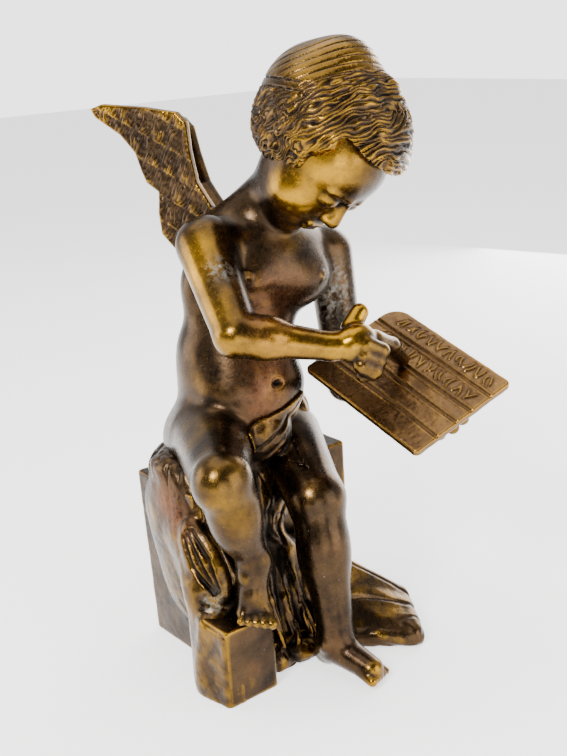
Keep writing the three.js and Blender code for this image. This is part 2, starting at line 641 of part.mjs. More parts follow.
// Facets are merged edge by edge, flattest places first, until only the wanted number is left
function keepFacets({ points, faces }, wanted) {
  const position = Float64Array.from(points)
  const corners = Int32Array.from(faces)
  const total = position.length / 3
  const terms = 10
  const error = new Float64Array(total * terms)
  const around = Array.from({ length: total }, () => [])
  const dead = new Uint8Array(corners.length / 3)
  const stamp = new Int32Array(total)
  const heap = makeHeap()
  const pointAt = (v) => [position[3 * v], position[3 * v + 1], position[3 * v + 2]]
  const faceNormal = (a, b, c) => cross(add(b, scaled(a, -1)), add(c, scaled(a, -1)))
  const addPlane = (v, [x, y, z], d, weight) => {
    const values = [x * x, x * y, x * z, x * d, y * y, y * z, y * d, z * z, z * d, d * d]
    values.forEach((value, i) => (error[v * terms + i] += weight * value))
  }
  const holdShare = 0.002
  for (let f = 0; f < dead.length; f++) {
    const trio = [corners[3 * f], corners[3 * f + 1], corners[3 * f + 2]]
    const [a, b, c] = trio.map(pointAt)
    const normal = faceNormal(a, b, c)
    const area = Math.hypot(...normal) / 2
    const n = scaled(normal, 1 / Math.max(2 * area, 1e-12))
    for (const v of trio) {
      around[v].push(f)
      addPlane(v, n, -dot(n, a), area)
      const here = pointAt(v)
      addPlane(v, [1, 0, 0], -here[0], holdShare * area)
      addPlane(v, [0, 1, 0], -here[1], holdShare * area)
      addPlane(v, [0, 0, 1], -here[2], holdShare * area)
    }
  }
  // The spot with the least squared distance to all the planes of both ends
  const bestSpot = (v, w) => {
    const q = new Array(terms)
    for (let i = 0; i < terms; i++) {
      q[i] = error[v * terms + i] + error[w * terms + i]
    }
    const rows = [[q[0], q[1], q[2]], [q[1], q[4], q[5]], [q[2], q[5], q[7]]]
    const right = [-q[3], -q[6], -q[8]]
    const bc = cross(rows[1], rows[2])
    const ca = cross(rows[2], rows[0])
    const ab = cross(rows[0], rows[1])
    const size = dot(rows[0], bc)
    const spot = [0, 1, 2].map((i) => (right[0] * bc[i] + right[1] * ca[i] + right[2] * ab[i]) / size)
    const cost = q[9] - dot(spot, right)
    return { spot, cost }
  }
  const pushEdge = (v, w) => {
    const { spot, cost } = bestSpot(v, w)
    heap.push({ cost, v, w, spot, stamps: [stamp[v], stamp[w]] })
  }
  const neighbours = (v) => {
    const found = new Set()
    for (const f of around[v]) {
      found.add(corners[3 * f]).add(corners[3 * f + 1]).add(corners[3 * f + 2])
    }
    found.delete(v)
    return found
  }
  const has = (f, v) => corners[3 * f] === v || corners[3 * f + 1] === v || corners[3 * f + 2] === v
  const leastTurn = 0.3
  const turnsOver = (v, other, spot) =>
    around[v].some((f) => {
      if (has(f, other)) {
        return false
      }
      const trio = [corners[3 * f], corners[3 * f + 1], corners[3 * f + 2]]
      const before = faceNormal(...trio.map(pointAt))
      const after = faceNormal(...trio.map((n) => (n === v ? spot : pointAt(n))))
      const sizes = Math.hypot(...before) * Math.hypot(...after)
      return dot(before, after) <= leastTurn * sizes
    })
  for (let v = 0; v < total; v++) {
    for (const w of neighbours(v)) {
      if (v < w) {
        pushEdge(v, w)
      }
    }
  }
  let left = dead.length
  while (left > wanted && heap.items.length > 1) {
    const { v, w, spot, stamps } = heap.pop()
    if (stamp[v] !== stamps[0] || stamp[w] !== stamps[1]) {
      continue
    }
    const besideW = neighbours(w)
    const shared = [...neighbours(v)].filter((n) => besideW.has(n))
    if (shared.length !== 2 || turnsOver(v, w, spot) || turnsOver(w, v, spot)) {
      continue
    }
    for (const f of around[w]) {
      if (has(f, v)) {
        dead[f] = 1
        left -= 1
      } else {
        for (let i = 0; i < 3; i++) {
          corners[3 * f + i] = corners[3 * f + i] === w ? v : corners[3 * f + i]
        }
        around[v].push(f)
      }
    }
    around[v] = around[v].filter((f) => !dead[f])
    for (const n of shared) {
      around[n] = around[n].filter((f) => !dead[f])
    }
    for (let i = 0; i < terms; i++) {
      error[v * terms + i] += error[w * terms + i]
    }
    around[w] = []
    stamp[w] += 1
    stamp[v] += 1
    position.set(spot, 3 * v)
    for (const n of neighbours(v)) {
      pushEdge(v, n)
    }
  }
  const kept = corners.filter((_, i) => !dead[Math.floor(i / 3)])
  return { points: position, faces: kept }
}

// Closed meshes to and from solids that can be joined and cut
function solidOf(points, faces) {
  const vertProperties = Float32Array.from(points)
  const triVerts = Uint32Array.from(faces)
  return new wasm.Manifold(new wasm.Mesh({ numProp: 3, vertProperties, triVerts }))
}

function solidOfGeometry(geometry) {
  geometry.deleteAttribute('normal')
  geometry.deleteAttribute('uv')
  const merged = mergeVertices(geometry, 1e-4)
  return solidOf(merged.attributes.position.array, merged.index.array)
}

function geometryOfSolid(solid) {
  const mesh = solid.getMesh()
  const geometry = new THREE.BufferGeometry()
  geometry.setAttribute('position', new THREE.BufferAttribute(mesh.vertProperties, 3))
  geometry.setIndex(new THREE.BufferAttribute(mesh.triVerts, 1))
  geometry.computeVertexNormals()
  return geometry
}

// A plate or block: rounded corners in plan and a small chamfer on every other edge
function slab(width, depth, height, radii, edge) {
  const [w, d] = [width / 2 - edge, depth / 2 - edge]
  const [r0, r1, r2, r3] = radii.map((radius) => Math.max(radius - edge, 0.2))
  const right = Math.PI / 2
  const outline = new THREE.Shape()
  outline.absarc(w - r0, d - r0, r0, 0, right)
  outline.absarc(-w + r1, d - r1, r1, right, 2 * right)
  outline.absarc(-w + r2, -d + r2, r2, 2 * right, 3 * right)
  outline.absarc(w - r3, -d + r3, r3, 3 * right, 4 * right)
  return new THREE.ExtrudeGeometry(outline, {
    depth: height - 2 * edge,
    bevelThickness: edge,
    bevelSize: edge,
    bevelSegments: 1,
    curveSegments: 4,
  }).translate(0, 0, edge)
}

// A block that stands on the ground: it starts lower and the ground trims it.
// Its right-hand side, on -X, leans out by the flare at the top.
function groundBlock(centreX, centreY, width, depth, height, flare = 0) {
  const corner = 2 * BLOCK_EDGE
  const geometry = slab(width, depth, height + corner, Array(4).fill(corner), BLOCK_EDGE)
  geometry.translate(centreX, centreY, -corner)
  const position = geometry.attributes.position
  for (let i = 0; i < position.count; i++) {
    const share = position.getX(i) < centreX ? position.getZ(i) / height : 0
    position.setX(i, position.getX(i) - flare * Math.max(share, 0))
  }
  return solidOfGeometry(geometry)
}

function makeFigure() {
  const field = fillGrid()
  mendDiagonals(field)
  const facets = keepFacets(skin(field), FIGURE_FACETS)
  const seat = groundBlock(0, 0, SEAT_WIDTH, SEAT_DEPTH, SEAT_HEIGHT, SEAT_FLARE)
  const step = groundBlock(stepCentre[0], stepCentre[1], STEP_WIDTH, STEP_DEPTH, STEP_HEIGHT)
  const groundX = stepCentre[0] + STEP_WIDTH / 2 + GROUND_WIDTH / 2 - BLOCK_EDGE
  const groundY = -(SEAT_DEPTH + GROUND_REACH) / 2 + BLOCK_EDGE
  const ground = groundBlock(groundX, groundY, GROUND_WIDTH, GROUND_REACH, GROUND_HEIGHT)
  const wide = 4 * (SEAT_WIDTH + SITTING_HEIGHT)
  const below = solidOfGeometry(new THREE.BoxGeometry(wide, wide, wide).translate(0, 0, -wide / 2))
  const whole = solidOf(facets.points, facets.faces).add(seat).add(step).add(ground)
  return whole.subtract(below).subtract(tabletRoom())
}

// The tablet lies with its length on X, its width on Y and its written face at Z = 0
function tabletPlate(grown) {
  const [length, width] = [TABLET_LENGTH + 2 * grown, TABLET_WIDTH + 2 * grown]
  const height = TABLET_THICKNESS + 2 * grown
  const near = TABLET_CORNER + grown
  const radii = [near, TABLET_FAR_CORNER + grown, near, near]
  const plate = slab(length, width, height, radii, TABLET_EDGE)
  return plate.translate(TABLET_LENGTH / 2, TABLET_WIDTH / 2, -TABLET_THICKNESS - grown)
}

const tabletPose = new THREE.Matrix4()
  .makeBasis(...[tabletAlong, tabletAcross, tabletUp].map((axis) => new THREE.Vector3(...axis)))
  .setPosition(...tabletCorner)

// The space that the hands leave free around the tablet
function tabletRoom() {
  return solidOfGeometry(tabletPlate(FIT_GAP).applyMatrix4(tabletPose))
}

// Ruled lines and two rows of slanting strokes, cut into the written face
function makeTablet() {
  let plate = solidOfGeometry(tabletPlate(0))
  const cut = (length, width, depth, angle, x, y) => {
    const bar = new THREE.BoxGeometry(length, width, 2 * depth).rotateZ(angle).translate(x, y, 0)
    plate = plate.subtract(solidOfGeometry(bar))
  }
  for (const share of RULE_SHARES) {
    cut(TABLET_LENGTH + 2, RULE_WIDTH, RULE_DEPTH, 0, TABLET_LENGTH / 2, share * TABLET_WIDTH)
  }
  const rows = [[2, 3], [3, 4]]
  for (const [lower, upper] of rows) {
    const edges = [...RULE_SHARES, 1]
    const y = ((edges[lower] + edges[upper]) / 2) * TABLET_WIDTH
    const start = TABLET_FAR_CORNER + STROKE_PITCH / 2
    const strokes = Math.floor((TABLET_LENGTH - start - STROKE_PITCH / 2) / STROKE_PITCH)
    for (let i = 0; i < strokes; i++) {
      const lean = Math.PI / 2 + (i % 3 === 1 ? -0.45 : 0.35)
      cut(STROKE_LENGTH, STROKE_WIDTH, STROKE_DEPTH, lean, start + i * STROKE_PITCH, y)
    }
  }
  return plate
}

const bronze = new THREE.MeshStandardMaterial({ color: 0x5c4122, roughness: 0.38, metalness: 0.9 })
const redBronze = new THREE.MeshStandardMaterial({ color: 0x68452a, roughness: 0.5, metalness: 0.8 })

const cherub = new THREE.Mesh(geometryOfSolid(makeFigure()), bronze)
cherub.name = 'cherub_on_seat'

const tablet = new THREE.Mesh(geometryOfSolid(makeTablet()), redBronze)
tablet.name = 'writing_tablet'
tablet.applyMatrix4(tabletPose)

const statue = new THREE.Group()
statue.add(cherub, tablet)

export default statue
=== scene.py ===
# %% [markdown]
# # A small bronze of a seated winged child
# The solid parts of this statue are joined to the same frame as its CAD model.
# Every form is written as a distance: how far a point is from the surface, in millimetres,
# negative inside. Distances melt into each other, as wax does, and a net is then stretched
# over the places where the distance is zero.

# %% Set-up
import json

import bpy
import numpy as np
from mathutils import Matrix, Vector

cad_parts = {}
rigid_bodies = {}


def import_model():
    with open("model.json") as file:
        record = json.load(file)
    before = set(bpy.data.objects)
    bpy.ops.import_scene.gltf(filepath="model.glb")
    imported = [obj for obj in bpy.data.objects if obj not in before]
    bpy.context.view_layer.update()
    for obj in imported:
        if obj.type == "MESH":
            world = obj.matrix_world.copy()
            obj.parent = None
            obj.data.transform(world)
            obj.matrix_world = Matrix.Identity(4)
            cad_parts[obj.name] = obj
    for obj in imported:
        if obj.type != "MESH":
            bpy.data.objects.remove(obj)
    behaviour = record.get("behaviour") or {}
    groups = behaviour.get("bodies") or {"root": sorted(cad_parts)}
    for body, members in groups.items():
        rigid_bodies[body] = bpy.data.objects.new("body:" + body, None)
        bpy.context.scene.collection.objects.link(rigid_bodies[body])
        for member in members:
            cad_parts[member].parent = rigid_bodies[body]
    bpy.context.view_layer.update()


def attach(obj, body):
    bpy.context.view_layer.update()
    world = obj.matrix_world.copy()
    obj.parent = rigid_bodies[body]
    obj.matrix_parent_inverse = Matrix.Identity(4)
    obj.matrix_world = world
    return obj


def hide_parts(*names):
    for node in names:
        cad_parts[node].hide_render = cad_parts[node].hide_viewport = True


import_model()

# %% [markdown]
# ## Sizes
# Everything below is in millimetres. Only the last step, which makes the meshes, divides by 1000.

# %% Sizes
SEAT = np.array([110.0, 55.0, 105.6])
SEAT_FLARE = 3.6
STEP = np.array([32.5, 25.0, 46.0])
STEP_CENTRE = np.array([-57.25, -60.4, 46.0])
GROUND = np.array([52.0, 33.0, 16.0])
TABLET = np.array([88.6, 68.9, 4.0])
TABLET_FAR_CORNER = 11.0
TABLET_GAP = 0.35
RULES = [0.22, 0.42, 0.57, 0.78]
STROKE_PITCH = 7.2
STROKE_SPREAD = 1.3
WING_THICKNESS = 6.4
HEAD_CENTRE = np.array([28.0, -49.0, 287.5])
HEAD_SCALE = 0.93
FAR = 9.0
TRIANGLE_LIMIT = 190000


def unit(v):
    """The vector divided by its length."""
    v = np.asarray(v, float)
    return v / np.linalg.norm(v)


tablet_corner = np.array([10.8, -46.9, 167.3])
tablet_along = unit([0.001, -0.95, -0.313])
tablet_across = unit(np.cross(np.cross(tablet_along, [0.935, -0.11, 0.338]), tablet_along))
tablet_up = unit(np.cross(tablet_along, tablet_across))
TABLET_AXES = np.array([tablet_along, tablet_across, tablet_up])

bow, tip = np.radians([57.0, 25.0])
head_front = np.array([0.0, -np.cos(bow), -np.sin(bow)])
level_side = np.array([-1.0, 0.0, 0.0])
level_crown = np.cross(level_side, head_front)
head_side = level_side * np.cos(tip) + level_crown * np.sin(tip)
head_crown = level_crown * np.cos(tip) - level_side * np.sin(tip)
HEAD_AXES = np.array([head_side, head_crown, head_front])


def on_tablet(along, across, up):
    """A point measured along, across and above the tablet."""
    return tablet_corner + along * tablet_along + across * tablet_across + up * tablet_up


def on_step(x, y, z):
    """A point measured from the middle of the step's top."""
    return STEP_CENTRE + np.array([x, y, z], float)


def in_head(side, crown, front):
    """A point measured from the middle of the head along its own three axes."""
    return HEAD_CENTRE + HEAD_SCALE * (np.array([side, crown, front], float) @ HEAD_AXES)


def lerp(a, b, t):
    """The point a share t of the way from a to b."""
    return np.asarray(a, float) * (1 - t) + np.asarray(b, float) * t


print("tablet faces", tablet_up.round(3), "and the face looks along", head_front.round(3))

# %% [markdown]
# ## Forms
# A form is its lowest corner, its highest corner and a distance function.
# - A limb from a to b: distance to the nearest point a + t(b - a), less a radius that runs
#   from ra to rb with t.
# - A swelling: with p the point in the ellipsoid's own axes and r its radii,
#   k0 = |p/r| and k1 = |p/r^2|, the distance is close to k0 (k0 - 1) / k1.
# - A block: q = |p| - half size + edge, distance = |max(q, 0)| + min(max(q), 0) - edge.


# %% Forms
def limb(a, b, ra, rb):
    """A rod with round ends whose radius runs from ra to rb."""
    a, b = np.asarray(a, float), np.asarray(b, float)
    ax, ay, az = map(float, a)
    dx, dy, dz = map(float, b - a)
    length = dx * dx + dy * dy + dz * dz

    def distance(x, y, z):
        px, py, pz = x - ax, y - ay, z - az
        t = np.clip((px * dx + py * dy + pz * dz) / length, 0, 1)
        away = np.sqrt((px - t * dx) ** 2 + (py - t * dy) ** 2 + (pz - t * dz) ** 2)
        return away - (ra + (rb - ra) * t)

    reach = max(ra, rb)
    return np.minimum(a, b) - reach, np.maximum(a, b) + reach, distance


def swelling(centre, radii, axes=None, size=1.0):
    """An ellipsoid with three radii along the given axes."""
    cx, cy, cz = map(float, centre)
    r = [float(size * v) for v in radii]
    rows = [[float(v) for v in row] for row in (np.eye(3) if axes is None else axes)]

    def distance(x, y, z):
        px, py, pz = x - cx, y - cy, z - cz
        p = [(px * u + py * v + pz * w) / q for (u, v, w), q in zip(rows, r)]
        inner = np.sqrt(p[0] ** 2 + p[1] ** 2 + p[2] ** 2)
        slope = np.sqrt((p[0] / r[0]) ** 2 + (p[1] / r[1]) ** 2 + (p[2] / r[2]) ** 2)
        return inner * (inner - 1) / np.maximum(slope, 1e-6)

    reach = max(r)
    return np.asarray(centre) - reach, np.asarray(centre) + reach, distance


def block(centre, size, edge, flare=0.0):
    """A block with round edges; its -X side leans out by the flare at the top."""
    cx, cy, cz = map(float, centre)
    half = [float(v) / 2 - edge for v in size]
    tall = float(size[2])

    def distance(x, y, z):
        lean = flare * np.clip(z / tall, 0, 1) * (x < cx)
        q = [np.abs(x + lean - cx) - half[0], np.abs(y - cy) - half[1], np.abs(z - cz) - half[2]]
        out = np.sqrt(sum(np.maximum(v, 0) ** 2 for v in q))
        return out + np.minimum(np.maximum(np.maximum(q[0], q[1]), q[2]), 0) - edge

    reach = np.asarray(size) / 2 + [flare, 0, 0]
    return np.asarray(centre) - reach, np.asarray(centre) + reach, distance


def melt(a, b, width):
    """Smooth minimum: min(a, b) less (width - |a - b|)^2 / (4 width) where they are close."""
    near = np.maximum(width - np.abs(a - b), 0)
    return np.minimum(a, b) - near * near / (4 * max(width, 1e-6))


class Sculpture:
    """A list of forms to add or take away, each with the width of its soft fillet."""

    def __init__(self):
        self.entries = []

    def put(self, form, width):
        self.entries.append((form, width, 1))

    def hollow(self, form, width):
        self.entries.append((form, width, -1))


# %% [markdown]
# ## From distances to a net
# The grid holds one distance at each point. In every cell that the surface crosses the net
# gets one vertex, at the mean of the places where the cell's edges change sign, and each
# crossed edge gets a quad between its four cells. The vertices are then moved onto the
# surface by Newton's step, v = v - D(v) g / |g|^2, where g is the slope of D.


# %% Distances on a grid
CORNERS = [np.array([corner & 1, corner >> 1 & 1, corner >> 2]) for corner in range(8)]


class Grid:
    """A regular grid of distances that holds a sculpture."""

    def __init__(self, sculpture, step, floor=None):
        low = np.min([form[0] for form, _, sign in sculpture.entries if sign > 0], 0) - 4
        high = np.max([form[1] for form, _, sign in sculpture.entries if sign > 0], 0) + 4
        if floor is not None:
            low[2] = max(low[2], floor - 4)
        self.low, self.step = low, step
        self.count = np.ceil((high - low) / step).astype(int) + 1
        self.lines = [
            (low[i] + step * np.arange(self.count[i])).astype(np.float32) for i in range(3)
        ]
        self.value = np.full(self.count, FAR, np.float32)
        for form, width, sign in sculpture.entries:
            self.write(form, width, sign)
        if floor is not None:
            height = self.lines[2][None, None, :]
            self.value = np.maximum(self.value, floor - height)
        self.value = np.clip(self.value, -FAR, FAR)

    def write(self, form, width, sign):
        low, high, distance = form
        pad = width + 7
        first = np.clip(((low - pad - self.low) / self.step).astype(int), 0, self.count - 1)
        last = np.clip(((high + pad - self.low) / self.step).astype(int) + 2, 1, self.count)
        window = tuple(slice(a, b) for a, b in zip(first, last))
        x = self.lines[0][window[0]][:, None, None]
        y = self.lines[1][window[1]][None, :, None]
        z = self.lines[2][window[2]][None, None, :]
        self.value[window] = sign * melt(sign * self.value[window], distance(x, y, z), width)

    def sample(self, points):
        """The distance at any point, mixed from the eight grid points around it."""
        g = (points - self.low) / self.step
        base = np.clip(np.floor(g).astype(int), 0, self.count - 2)
        f = np.clip(g - base, 0, 1)
        total = np.zeros(len(points))
        for offset in CORNERS:
            weight = np.prod(np.where(offset, f, 1 - f), axis=1)
            i, j, k = (base + offset).T
            total += weight * self.value[i, j, k]
        return total

    def beside(self, points, reach):
        """The distances a reach ahead of and behind each point, along X, Y and Z in turn."""
        for move in reach * np.eye(3):
            yield self.sample(points + move), self.sample(points - move)

    def slope(self, points, reach):
        """The change of the distance along X, Y and Z."""
        columns = [ahead - behind for ahead, behind in self.beside(points, reach)]
        return np.stack(columns, 1) / (2 * reach)

    def convexity(self, points, reach):
        """Sum of the distances a reach away along six ways, over the reach: above 0 on ridges."""
        total = np.zeros(len(points))
        for ahead, behind in self.beside(points, reach):
            total += ahead + behind
        return (total - 6 * self.sample(points)) / reach


# %% The net
def stretch_net(grid):
    """Vertices and quads of the zero surface."""
    value, inside = grid.value, grid.value < 0
    cells = np.array(value.shape) - 1
    filled = np.zeros(cells, np.uint8)
    for i, j, k in CORNERS:
        filled += inside[i : cells[0] + i, j : cells[1] + j, k : cells[2] + k]
    place = np.nonzero((filled > 0) & (filled < 8))
    index = np.full(cells, -1, np.int32)
    index[place] = np.arange(len(place[0]))
    total, weight = np.zeros((len(place[0]), 3)), np.zeros(len(place[0]))
    for axis in range(3):
        others = [a for a in range(3) if a != axis]
        for side in range(4):
            start = np.zeros(3, int)
            start[others] = side & 1, side >> 1
            end = start.copy()
            end[axis] = 1
            near = value[tuple(p + o for p, o in zip(place, start))]
            beyond = value[tuple(p + o for p, o in zip(place, end))]
            crossed = (near < 0) != (beyond < 0)
            spot = np.tile(start.astype(float), (len(near), 1))
            spot[:, axis] = near / np.where(crossed, near - beyond, 1)
            total += spot * crossed[:, None]
            weight += crossed
    vertices = grid.low + grid.step * (np.stack(place, 1) + total / weight[:, None])
    quads = []
    for axis in range(3):
        b, c = (axis + 1) % 3, (axis + 2) % 3
        near = [slice(1, -1)] * 3
        near[axis] = slice(0, -1)
        beyond = list(near)
        beyond[axis] = slice(1, None)
        crossed = inside[tuple(near)] != inside[tuple(beyond)]
        base = np.stack(np.nonzero(crossed), 1)
        base[:, [b, c]] += 1
        corners = []
        for back_b, back_c in ((1, 1), (0, 1), (0, 0), (1, 0)):
            cell = base.copy()
            cell[:, b] -= back_b
            cell[:, c] -= back_c
            corners.append(index[tuple(cell.T)])
        quad = np.stack(corners, 1)
        outward = inside[tuple(near)][crossed]
        quad[~outward] = quad[~outward][:, ::-1]
        quads.append(quad)
    quads = np.concatenate(quads)
    for _ in range(2):
        slope = grid.slope(vertices, 0.5 * grid.step)
        size = np.maximum((slope**2).sum(1), 0.05)
        move = np.clip(grid.sample(vertices) / size, -grid.step, grid.step)
        vertices = vertices - move[:, None] * slope
    return vertices, quads


def normals_of(vertices, quads):
    """Each vertex's normal: the sum of the cross products of its quads' diagonals."""
    a, b, c, d = (vertices[quads[:, i]] for i in range(4))
    face = np.cross(c - a, d - b)
    total = np.zeros_like(vertices)
    for i in range(4):
        for axis in range(3):
            total[:, axis] += np.bincount(quads[:, i], face[:, axis], len(vertices))
    return total / np.maximum(np.linalg.norm(total, axis=1, keepdims=True), 1e-9)


def noise(points, cell, seed):
    """Smooth noise from -1 to 1: random values on a lattice, mixed with f^2 (3 - 2f)."""
    g = np.asarray(points, float) / cell + 17.3 * seed
    base = np.floor(g).astype(np.int64)
    f = g - base
    f = f * f * (3 - 2 * f)
    total = np.zeros(len(g))
    for offset in CORNERS:
        i, j, k = (base + offset).T
        key = (i * 73856093) ^ (j * 19349663) ^ (k * 83492791) ^ (seed * 961748927)
        key = (key ^ (key >> 13)) * 1274126177
        total += np.prod(np.where(offset, f, 1 - f), axis=1) * ((key & 0xFFFF) / 32767.5 - 1)
    return total


# %% [markdown]
# ## The body
# Limbs and swellings for the trunk, legs, arms and head, from the joints of a small child.


# %% Body
body = Sculpture()


def make_trunk():
    """Pelvis, belly, chest, shoulders and neck, with navel and nipples."""
    body.put(limb([-9, 1, 130], [-5, -4, 170], 31, 29), 8)
    body.put(swelling([-4, -16, 153], [33, 26, 27]), 10)
    body.put(limb([-4, -4, 170], [10, -13, 214], 28, 25), 10)
    body.put(swelling([13, -17, 221], [34, 23, 26]), 10)
    body.put(limb([-22, -14, 238], [48, -16, 224], 13, 12.5), 12)
    for centre, radii, width in (
        ([-4, -28, 216], [15, 10, 12], 8),
        ([26, -31.5, 212], [17, 9, 13], 9),
        ([-10, 3, 166], [24, 22, 36], 10),
        ([-7, 4, 210], [23, 18, 26], 10),
    ):
        body.put(swelling(centre, radii), width)
    body.put(limb([-10, 2, 240], [15, -14, 257], 11, 11), 8)
    body.put(limb([8, -10.5, 240], [21, -29.5, 268], 17.3, 16.8), 9)
    body.put(swelling([-24, 5, 123], [24, 25, 22]), 8)
    body.put(swelling([14, 4, 118], [22, 24, 20]), 8)
    body.hollow(limb([-9, 32, 150], [2, 27, 220], 3, 3), 9)
    body.hollow(swelling([-4, -42.5, 160.5], [2.9, 4, 1.7]), 2.5)
    for nipple in ([-16.3, -35.8, 221.9], [31, -40.5, 214]):
        body.put(swelling(nipple, [3.4, 1.4, 3.4]), 1.5)
        body.put(swelling(nipple + np.array([0, -0.9, 0]), [1.2, 1.0, 1.2]), 0.8)


def toes(ball, tips):
    """Five toes in a row from the ball of the foot, the first one the largest."""
    for i in range(5):
        share = i / 4
        radius = 3.0 - 0.8 * share
        body.put(limb(lerp(*ball, share), lerp(*tips, share), radius + 1, radius), 1.2)


def make_legs():
    """The right foot stands on the step, the left one on the ground."""
    hip, knee, ankle = np.array([-29, -10, 128]), np.array([-62, -63, 128]), on_step(9.5, -6.6, 31)
    instep, ball = on_step(6, -9, 14), [on_step(8, -14.6, 5.5), on_step(-1, -9.6, 5.5)]
    body.put(limb(hip, knee, 23.5, 15.5), 7)
    body.put(limb(knee + [0, -1, -5], ankle, 14.5, 8.4), 5)
    body.put(swelling(lerp(knee, ankle, 0.42), [14, 14, 21]), 6)
    body.put(swelling(knee + [-2.5, -5, 1], [11, 9, 11]), 10)
    body.put(limb(ankle, on_step(10, 1.4, 9), 8.4, 8), 4)
    body.put(limb(ankle, instep, 8.4, 7.5), 4)
    body.put(limb(instep, ball[0], 7, 5.2), 3)
    body.put(limb(instep, ball[1], 6.5, 4.6), 3)
    body.put(swelling(ankle + [-8, -2, -6], [3, 4, 4]), 3)
    toes(ball, [on_step(7, -22.6, 0.8), on_step(-6.2, -12.8, 3.6)])
    hip, knee, ankle = np.array([20, -14, 114]), np.array([3, -60, 96]), np.array([-5, -82, 22])
    body.put(limb(hip, knee, 22, 16), 7)
    body.put(limb(knee + [0, -1, -2], ankle, 15.5, 10), 6)
    body.put(swelling(lerp(knee, ankle, 0.4), [14.5, 14.5, 24]), 6)
    body.put(limb([-5, -80, 20], [-5, -74, 7.5], 10, 8), 4)
    body.put(limb([-5, -82, 13], [-1.5, -106, 8], 9.5, 7), 5)
    body.put(swelling(ankle + [-9, 0, -4], [3, 4, 4]), 3)
    toes([[-5.5, -103, 7], [4.5, -102, 6]], [[-6.5, -112, 5], [7, -108.5, 4]])


RIGHT_WRIST, LEFT_WRIST = np.array([-5, -88, 191]), np.array([43, -84, 153.5])


def make_arms():
    """The right arm bends across the chest, the left one reaches under the tablet."""
    right_elbow, left_elbow = np.array([-42.5, -58.5, 200]), np.array([50, -37, 146])
    body.put(limb([-28.5, -15, 238.5], right_elbow, 14.8, 12), 7)
    body.put(limb(right_elbow, RIGHT_WRIST, 11, 7.4), 4)
    body.put(swelling(lerp(right_elbow, RIGHT_WRIST, 0.3), [13, 11.5, 11.5]), 5)
    body.put(limb([55, -21, 221], left_elbow, 13.5, 11), 7)
    body.put(limb(left_elbow, LEFT_WRIST, 10, 7.4), 3)


def make_hands():
    """The right hand points with the forefinger; the left palm carries the tablet."""
    touch = on_tablet(0.43 * TABLET[0], 0.56 * TABLET[1], TABLET_GAP + 3.6)
    body.put(limb(RIGHT_WRIST, [3, -92.5, 191], 7.4, 8.5), 2)
    body.put(swelling([7, -95, 191], [10.5, 9, 11]), 3)
    body.put(limb([9, -88, 198], [15.5, -88, 205], 5.4, 4.6), 2)
    body.put(limb([17, -96, 191], [31, -94, 184], 5.6, 4.8), 2)
    body.put(limb([31, -94, 184], touch, 4.8, 3.6), 2)
    for i in range(3):
        knuckle = [6.5 - 1.2 * i, -101, 192 - 5.2 * i]
        middle = [14.5 - 2.5 * i, -104, 187 - 4.6 * i]
        end = [11.5 - 2.2 * i, -98, 182 - 3.6 * i]
        body.put(limb(knuckle, middle, 5, 4.5), 1)
        body.put(limb(middle, end, 4.5, 4), 1)

    def under(along, across, radius):
        return on_tablet(along, across, -TABLET[2] - TABLET_GAP - radius)

    long, wide = TABLET[0], TABLET[1]
    body.put(limb(LEFT_WRIST, under(0.59 * long, 0.42 * wide, 8), 7.4, 7.6), 2)
    axes = [tablet_across, tablet_along, tablet_up]
    body.put(swelling(under(0.7 * long, 0.42 * wide, 6.2), [13, 13, 6.2], axes), 3)
    for i, (reach, spread) in enumerate([(6.6, 0.32), (4.8, 0.435), (5.6, 0.55), (8.2, 0.82)]):
        root = under(long - 24.6, 0.38 * wide + 5 * i, 4.6)
        middle = under(long - 12.6, spread * wide + 1, 4.3)
        body.put(limb(root, middle, 4.5, 4.3), 1)
        body.put(limb(middle, under(long - reach, spread * wide, 3.8), 4.3, 3.8), 1)


def make_head():
    """A plain schoolbook child's head: round skull, full cheeks, small lowered features."""

    def form(centre, radii):
        return swelling(in_head(*centre), radii, HEAD_AXES, HEAD_SCALE)

    def line(a, b, ra, rb):
        return limb(in_head(*a), in_head(*b), ra * HEAD_SCALE, rb * HEAD_SCALE)

    body.put(form([0, 9, -5], [35, 35, 42]), 6)
    body.put(form([0, -12, 11], [28, 32, 29]), 8)
    body.put(form([0, -35, 24], [10, 9, 10]), 7)
    body.put(form([0, 8, 20], [28, 20, 18]), 8)
    for side in (1, -1):
        body.put(form([13 * side, -19, 20], [14, 14, 14]), 8)
        body.hollow(form([12.5 * side, -3, 41.5], [9, 5.5, 6]), 4)
        body.put(form([12.5 * side, -4, 33.5], [8, 5.5, 6]), 1.5)
        body.put(line([5 * side, -7, 37.6], [19 * side, -6.5, 33.5], 1.3, 1.0), 0.8)
        body.put(line([5.5 * side, 3, 39], [20 * side, 2, 34], 2.2, 1.6), 3)
        body.put(form([4 * side, -14.5, 40], [3.2, 3, 3.5]), 2)
    body.put(line([0, -2, 38], [0, -13, 43], 2.6, 4.2), 3)
    body.put(line([-6, -23.5, 38], [6, -23.5, 38], 2.6, 2.6), 1.2)
    body.put(line([-4.5, -27.5, 37], [4.5, -27.5, 37], 2.8, 2.8), 1.2)


make_trunk()
make_legs()
make_arms()
make_hands()
make_head()
print("forms in the body:", len(body.entries))

# %% [markdown]
# ## Hair
# The hair is one thick cap that ends at a hairline: in front of the ears at a fixed
# distance forward, over the brow at a fixed height, and on the nape along a slope.
# Its strands run over the head in planes of equal distance forward, q. A strand's profile is
# |sin(pi q / pitch)|, which is round on top and sharp in its grooves.


# %% Hair
def head_coordinates(points):
    """Side, crown and front of each point in the head's own axes and size."""
    return ((points - HEAD_CENTRE) @ HEAD_AXES.T / HEAD_SCALE).T


